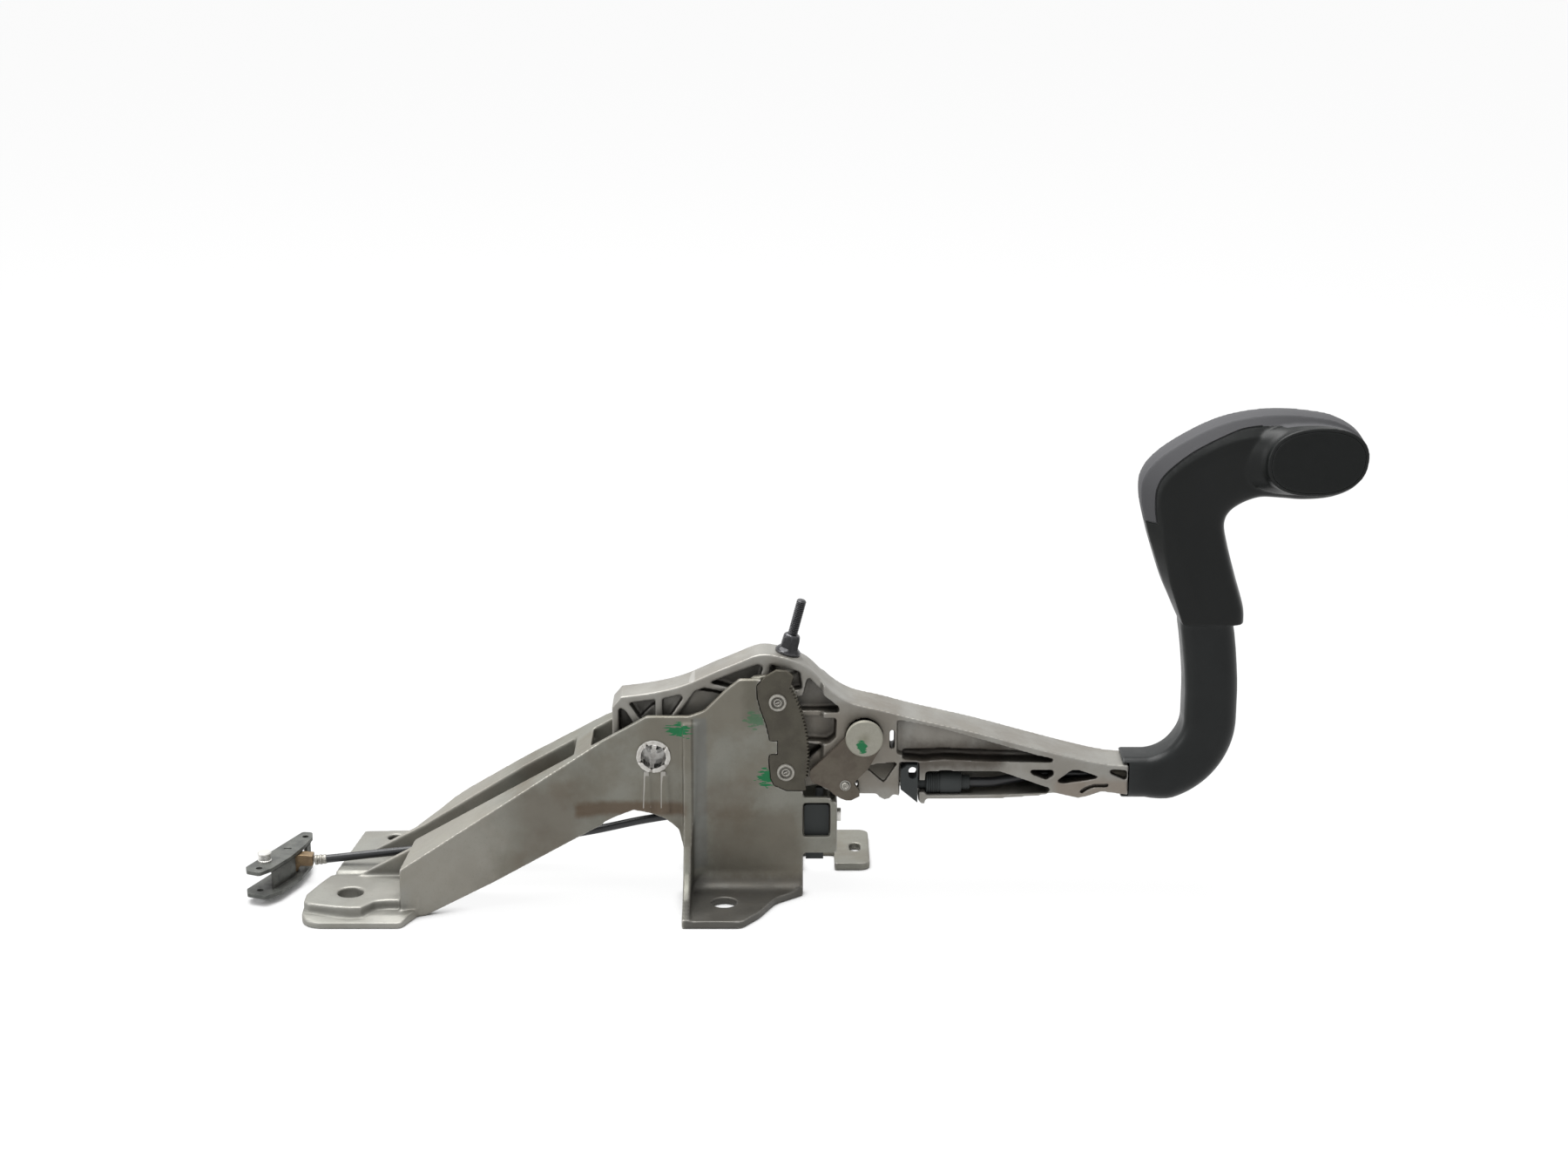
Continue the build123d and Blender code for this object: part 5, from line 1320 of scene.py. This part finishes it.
    def groove_tools(self, blank: bpy.types.Object, edge: Sequence[Flat]) -> list[bpy.types.Object]:
        """Tubes along the cover's joint line on the skin of the grip, on both sides and round its rear.

        Args:
            blank: The grip before it is split.
            edge: The cover's edge in side view, from its rear corner to its front end.

        Returns:
            The tubes.
        """
        skin = BVHTree.FromObject(blank, bpy.context.evaluated_depsgraph_get())
        low = edge[0][1]
        reach = self.grip_half * self.rear_share
        across = [reach * (step / 12 - 1) for step in range(25)]
        lines = [
            [skin.ray_cast(at(x, -60, z), ACROSS)[0] for x, z in edge if x < self.groove_end[0]],
            [skin.ray_cast(at(x, 60, z), NEAR)[0] for x, z in edge if x < self.groove_end[1]],
            [skin.ray_cast(at(200, y, low), FORWARD)[0] for y in across],
        ]
        return [
            tube("groove", line, self.groove_radius, 12, steady) for line, steady in zip(lines, (ACROSS, ACROSS, UP))
        ]

    def grip(self) -> None:
        """Cut the grip's blank into its two shells and its top cover, and bore it for the button."""
        blank = self.grip_blank()
        opening = (self.button[0] + self.button_gap, self.button[1] + self.button_gap)
        recess = Form.rings("recess", [self.oval(self.knob_centre, opening, y) for y in (self.button_well, -30)])
        Form.cut(blank, recess, "DIFFERENCE")
        edge = [(x, z) for x, z in smooth_line(self.cover_edge, 6)]
        tools = self.groove_tools(blank, edge)
        region = Form.prism("cover_region", [*edge, *self.cover_back], -30, 30)
        near_half = Form.prism("near_half", self.split, -40, -self.seam)
        far_half = Form.prism("far_half", self.split, self.seam, 40)
        front = Form.prism("knob_keep", self.knob_front, -30, self.knob_back)
        Form.cut(region, front, "DIFFERENCE")
        for name, node, halves in (
            ("grip_cover", "grip_top_cover", ()),
            ("grip_near", "grip_shell_near", (near_half,)),
            ("grip_far", "grip_shell_far", (far_half,)),
        ):
            piece = bpy.data.objects.new(name + "_moulding", blank.data.copy())
            bpy.context.scene.collection.objects.link(piece)
            Form.cut(piece, region, "DIFFERENCE" if halves else "INTERSECT")
            for half in halves:
                Form.cut(piece, half, "INTERSECT")
            for tool in tools:
                Form.nick(piece, tool)
            Form.modify(piece, "DECIMATE", ratio=0.6)
            Form.dress(piece, Body.LEVER, SHELL_PLASTIC if halves else COVER_PLASTIC, [node], 50)
        Form.drop(blank, recess, region, near_half, far_half, front, *tools)
        for node in ("grip_screws", "button_spring", "crank_pin"):
            Form.dress_node(node, BLACK_OXIDE)
        Form.dress_node("release_crank", BLACK_PLASTIC)

    def button_piece(self) -> None:
        """Make the oval button with its slightly dished face."""
        rings = []
        for share, y in ((0.3, self.button_back), (1.0, self.button_back), (1.0, -23.8), (0.993, -24.05),
                         (0.98, -24.15), (0.9, -24.15), (0.75, -24.1), (0.5, -24.05), (0.25, -24.0), (0.02, -24.0)):
            rings.append(self.oval(self.knob_centre, (self.button[0] * share, self.button[1] * share), y))
        piece = Form.rings("release_button_oval", rings)
        stem = Form.turned("stem", [(1.8, 0), (1.8, 19.6)], facing(318.0, 2.3, 235.4, NEAR), 24)
        Form.join(piece, [stem])
        Form.dress(piece, Body.BUTTON, BUTTON_PLASTIC, ["release_button"], 40)

    def build(self) -> None:
        """Build the whole handle."""
        self.sleeve()
        self.grip()
        self.button_piece()


@dataclass
class CableAssembly:
    """Brake cable from the adjuster rod round the guide to the equaliser, and the equaliser.

    Attributes:
        radius: Radius of the cable.
        slope: Slope in degrees at which the cable leaves the guide.
        wrap_step: Angle between two points on the guide in degrees.
        sag: Points of the cable behind the guide.
        end: Its rear end, at the crimp.
        end_slope: Slope of the crimp in degrees.
        flange_top: z of the channel's upper face, on which the post stands.
    """

    radius: float = 2.1
    slope: float = 7.8
    wrap_step: float = 3.24
    sag: tuple[Flat, ...] = ((-5.5, 34.0), (-40.8, 26.6), (-90.0, 20.9), (-137.8, 15.9), (-168.04, 12.44))
    end: Flat = (-176.0, 11.6)
    end_slope: float = 6.0
    flange_top: float = 18.0

    def on_guide(self, degrees: float) -> Vector:
        """Point of the cable's centre line on the guide.

        Args:
            degrees: Angle about the middle of the guide.

        Returns:
            The point.
        """
        angle = math.radians(degrees)
        return at(GUIDE[0] + GUIDE_RADIUS * math.cos(angle), 0, GUIDE[1] + GUIDE_RADIUS * math.sin(angle))

    def cable(self) -> None:
        """Lay the black cable as one piece that bends where it leaves the guide."""
        start = self.on_guide(-ROD_LEAN)
        lean = math.radians(ROD_LEAN)
        rod = Vector((math.sin(lean), 0, math.cos(lean)))
        tangent = self.on_guide(-90 + self.slope)
        line = [start + rod * 20 * MM, start + rod * 10 * MM]
        line += [self.on_guide(-ROD_LEAN - self.wrap_step * step) for step in range(21)]
        leave = (tangent.x / MM - PIVOT_X, tangent.z / MM)
        line += [at(x, 0, z) for x, z in smooth_line([leave, *self.sag, self.end], 24)]
        apart = [p for i, p in enumerate(line) if i == 0 or (p - line[i - 1]).length > 0.01 * MM]
        piece = tube("brake_cable_black", apart, self.radius, 20)
        piece.data.materials.append(CABLE_SHEATH.material())
        piece.data.shade_smooth()
        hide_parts("brake_cable", "cable_wrap")
        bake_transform(piece)
        LOG.info("brake cable bends between lever and cable, %d faces", len(piece.data.polygons))

    def end_fittings(self) -> None:
        """Make the crimp and the tan block that the equaliser turns on."""
        slope = math.radians(self.end_slope)
        run = Vector((math.cos(slope), 0, math.sin(slope)))
        profile = [(0.001, 0), (2.5, 0), (2.6, 0.4), (2.6, 1.2), (2.3, 1.6), (2.3, 2.3), (2.6, 2.7), (2.6, 3.4),
                   (2.3, 3.8), (2.3, 4.4), (2.5, 4.8), (2.4, 5.7), (2.15, 6.0), (0.001, 6.0)]
        piece = Form.turned("crimp_sleeve", profile, facing(self.end[0], 0, self.end[1], run), 32)
        Form.dress(piece, Body.CABLE, RIVET_STEEL, ["cable_crimp"])
        Form.dress_eased("cable_block", "cable_end_block", 0.4, Body.CABLE, TAN_BLOCK, flat=True)

    def equaliser(self) -> None:
        """Ease the folded channel and its flush pin, and turn the post."""
        Form.dress_eased("equaliser_channel", "equaliser_plate", 0.45, Body.EQUALISER, PHOSPHATE, 3, flat=True)
        Form.dress_eased("equaliser_flush_pin", "equaliser_pin", 0.15, Body.EQUALISER, PHOSPHATE)
        low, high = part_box("equaliser_stud")
        x = (low.x + high.x) / 2 / MM - PIVOT_X
        y = (low.y + high.y) / 2 / MM
        post = [(0.001, -2.0), (1.6, -2.0), (1.6, 0), (3.5, 0), (3.5, 0.6), (3.15, 0.9), (3.15, 3.2), (3.5, 3.6),
                (3.5, 4.4), (3.0, 5.0), (0.001, 5.0)]
        piece = Form.turned("equaliser_post", post, facing(x, y, self.flange_top, UP), 40)
        Form.dress(piece, Body.EQUALISER, BRIGHT_STEEL, ["equaliser_stud"])

    def build(self) -> None:
        """Build the cable and the equaliser."""
        self.cable()
        self.end_fittings()
        self.equaliser()


@dataclass
class Studio:
    """Floor, lights and the photograph's camera.

    Attributes:
        lens: Focal length of the camera.
        sensor: Width of its sensor.
        camera_place: Where it stands.
        pitch: How far it looks down, in degrees.
        floor_half: Half the width of the floor in metres.
        ambient: Strength of the light all round.
        contact: How near a piece darkens the floor under it, in millimetres.
        aim: Point that the lamps face, in metres.
        lamps: Name, place and width in metres, and power in watts of each lamp.
    """

    lens: float = 70.0
    sensor: float = 36.0
    camera_place: tuple[float, float, float] = (66.0, -1464.1, 606.8)
    pitch: float = 17.0
    floor_half: float = 8.0
    ambient: float = 0.3
    contact: float = 9.0
    aim: tuple[float, float, float] = (0, 0, 0.1)
    lamps: tuple[tuple[str, tuple[float, float, float], float, float], ...] = (
        ("overhead", (-0.35, 0.25, 1.7), 1.4, 47.0),
        ("left_fill", (-1.9, -0.5, 0.7), 1.0, 11.0),
    )

    def camera(self) -> None:
        """Set the camera where the photograph was taken from."""
        data = bpy.data.cameras.new("photograph_view")
        data.lens = self.lens
        data.sensor_width = self.sensor
        data.clip_start = 0.05
        data.clip_end = 60.0
        made = bpy.data.objects.new("photograph_view", data)
        made.location = at(*self.camera_place)
        made.rotation_euler = (math.radians(90 - self.pitch), 0, 0)
        bpy.context.scene.collection.objects.link(made)
        bpy.context.scene.camera = made

    def pale(self, name: str) -> bpy.types.Material:
        """Pale ground that shows as nearly white to the camera and keeps a faint shadow.

        Args:
            name: Name of the material.

        Returns:
            The material.
        """
        sheet = NodeSheet(name)
        tint = sheet.mix(sheet.noise(400, 2), (0.78, 0.78, 0.78, 1), (0.8, 0.8, 0.8, 1))
        sheet.feed(sheet.shader.inputs["Base Color"], tint)
        sheet.shader.inputs["Roughness"].default_value = 0.9
        sheet.shader.inputs["Specular IOR Level"].default_value = 0.0
        path = sheet.node("ShaderNodeLightPath")
        seen = sheet.math("MAXIMUM", path.outputs["Is Camera Ray"], path.outputs["Is Transmission Ray"])
        seen = sheet.math("MAXIMUM", seen, path.outputs["Is Glossy Ray"])
        clear = sheet.node("ShaderNodeAmbientOcclusion", {"samples": 6}, Distance=self.contact * MM).outputs["AO"]
        seen = sheet.math("MULTIPLY", seen, sheet.ramp(clear, 0.3, 0.85))
        glow = sheet.node("ShaderNodeEmission", Color=(1, 1, 1, 1), Strength=1.04)
        mixed = sheet.node("ShaderNodeMixShader")
        sheet.feed(mixed.inputs[0], sheet.math("MULTIPLY", seen, 0.9))
        sheet.feed(mixed.inputs[1], sheet.shader.outputs[0])
        sheet.feed(mixed.inputs[2], glow.outputs[0])
        output = next(node for node in sheet.tree.nodes if node.type == "OUTPUT_MATERIAL")
        sheet.feed(output.inputs["Surface"], mixed.outputs[0])
        return sheet.material

    def floor(self) -> None:
        """Lay the pale floor."""
        work = bmesh.new()
        bmesh.ops.create_grid(work, x_segments=4, y_segments=4, size=self.floor_half)
        made = Form.from_bmesh(work, "pale_floor")
        made.data.materials.append(self.pale("pale_ground"))

    def world(self) -> None:
        """Set the even light all round, which shows as white behind the object."""
        world = bpy.data.worlds.new("even_light")
        world.use_nodes = True
        tree = world.node_tree
        path = tree.nodes.new("ShaderNodeLightPath")
        strength = tree.nodes.new("ShaderNodeMapRange")
        seen = path.outputs["Is Camera Ray"]
        for kind in ("Is Glossy Ray", "Is Transmission Ray"):
            either = tree.nodes.new("ShaderNodeMath")
            either.operation = "MAXIMUM"
            tree.links.new(seen, either.inputs[0])
            tree.links.new(path.outputs[kind], either.inputs[1])
            seen = either.outputs[0]
        tree.links.new(seen, strength.inputs[0])
        strength.inputs[3].default_value = self.ambient
        strength.inputs[4].default_value = 1.0
        background = tree.nodes["Background"]
        background.inputs[0].default_value = (1, 1, 1, 1)
        tree.links.new(strength.outputs[0], background.inputs[1])
        bpy.context.scene.world = world

    def lamp(self, name: str, place: Vector, size: float, power: float) -> None:
        """Hang one soft lamp.

        Args:
            name: Name of the lamp.
            place: Where it hangs, in metres.
            size: Width of its face in metres.
            power: Its power in watts.
        """
        data = bpy.data.lights.new(name, "AREA")
        data.size = size
        data.energy = power
        made = bpy.data.objects.new(name, data)
        made.location = place
        made.rotation_mode = "QUATERNION"
        made.rotation_quaternion = (Vector(self.aim) - place).to_track_quat("-Z", "Y")
        bpy.context.scene.collection.objects.link(made)

    def build(self) -> None:
        """Set up the whole studio."""
        self.camera()
        self.floor()
        self.world()
        for name, place, size, power in self.lamps:
            self.lamp(name, Vector(place), size, power)
        bpy.context.scene.view_settings.view_transform = "Standard"


def main() -> None:
    """Dress every sub-assembly and light it."""
    logging.basicConfig(level=logging.INFO, format="%(name)s: %(message)s")
    Studio().build()
    for assembly in (BracketAssembly(), LeverAssembly(), HandleAssembly(), CableAssembly()):
        LOG.info("building %s", type(assembly).__name__)
        assembly.build()


if __name__ == "__main__":
    main()
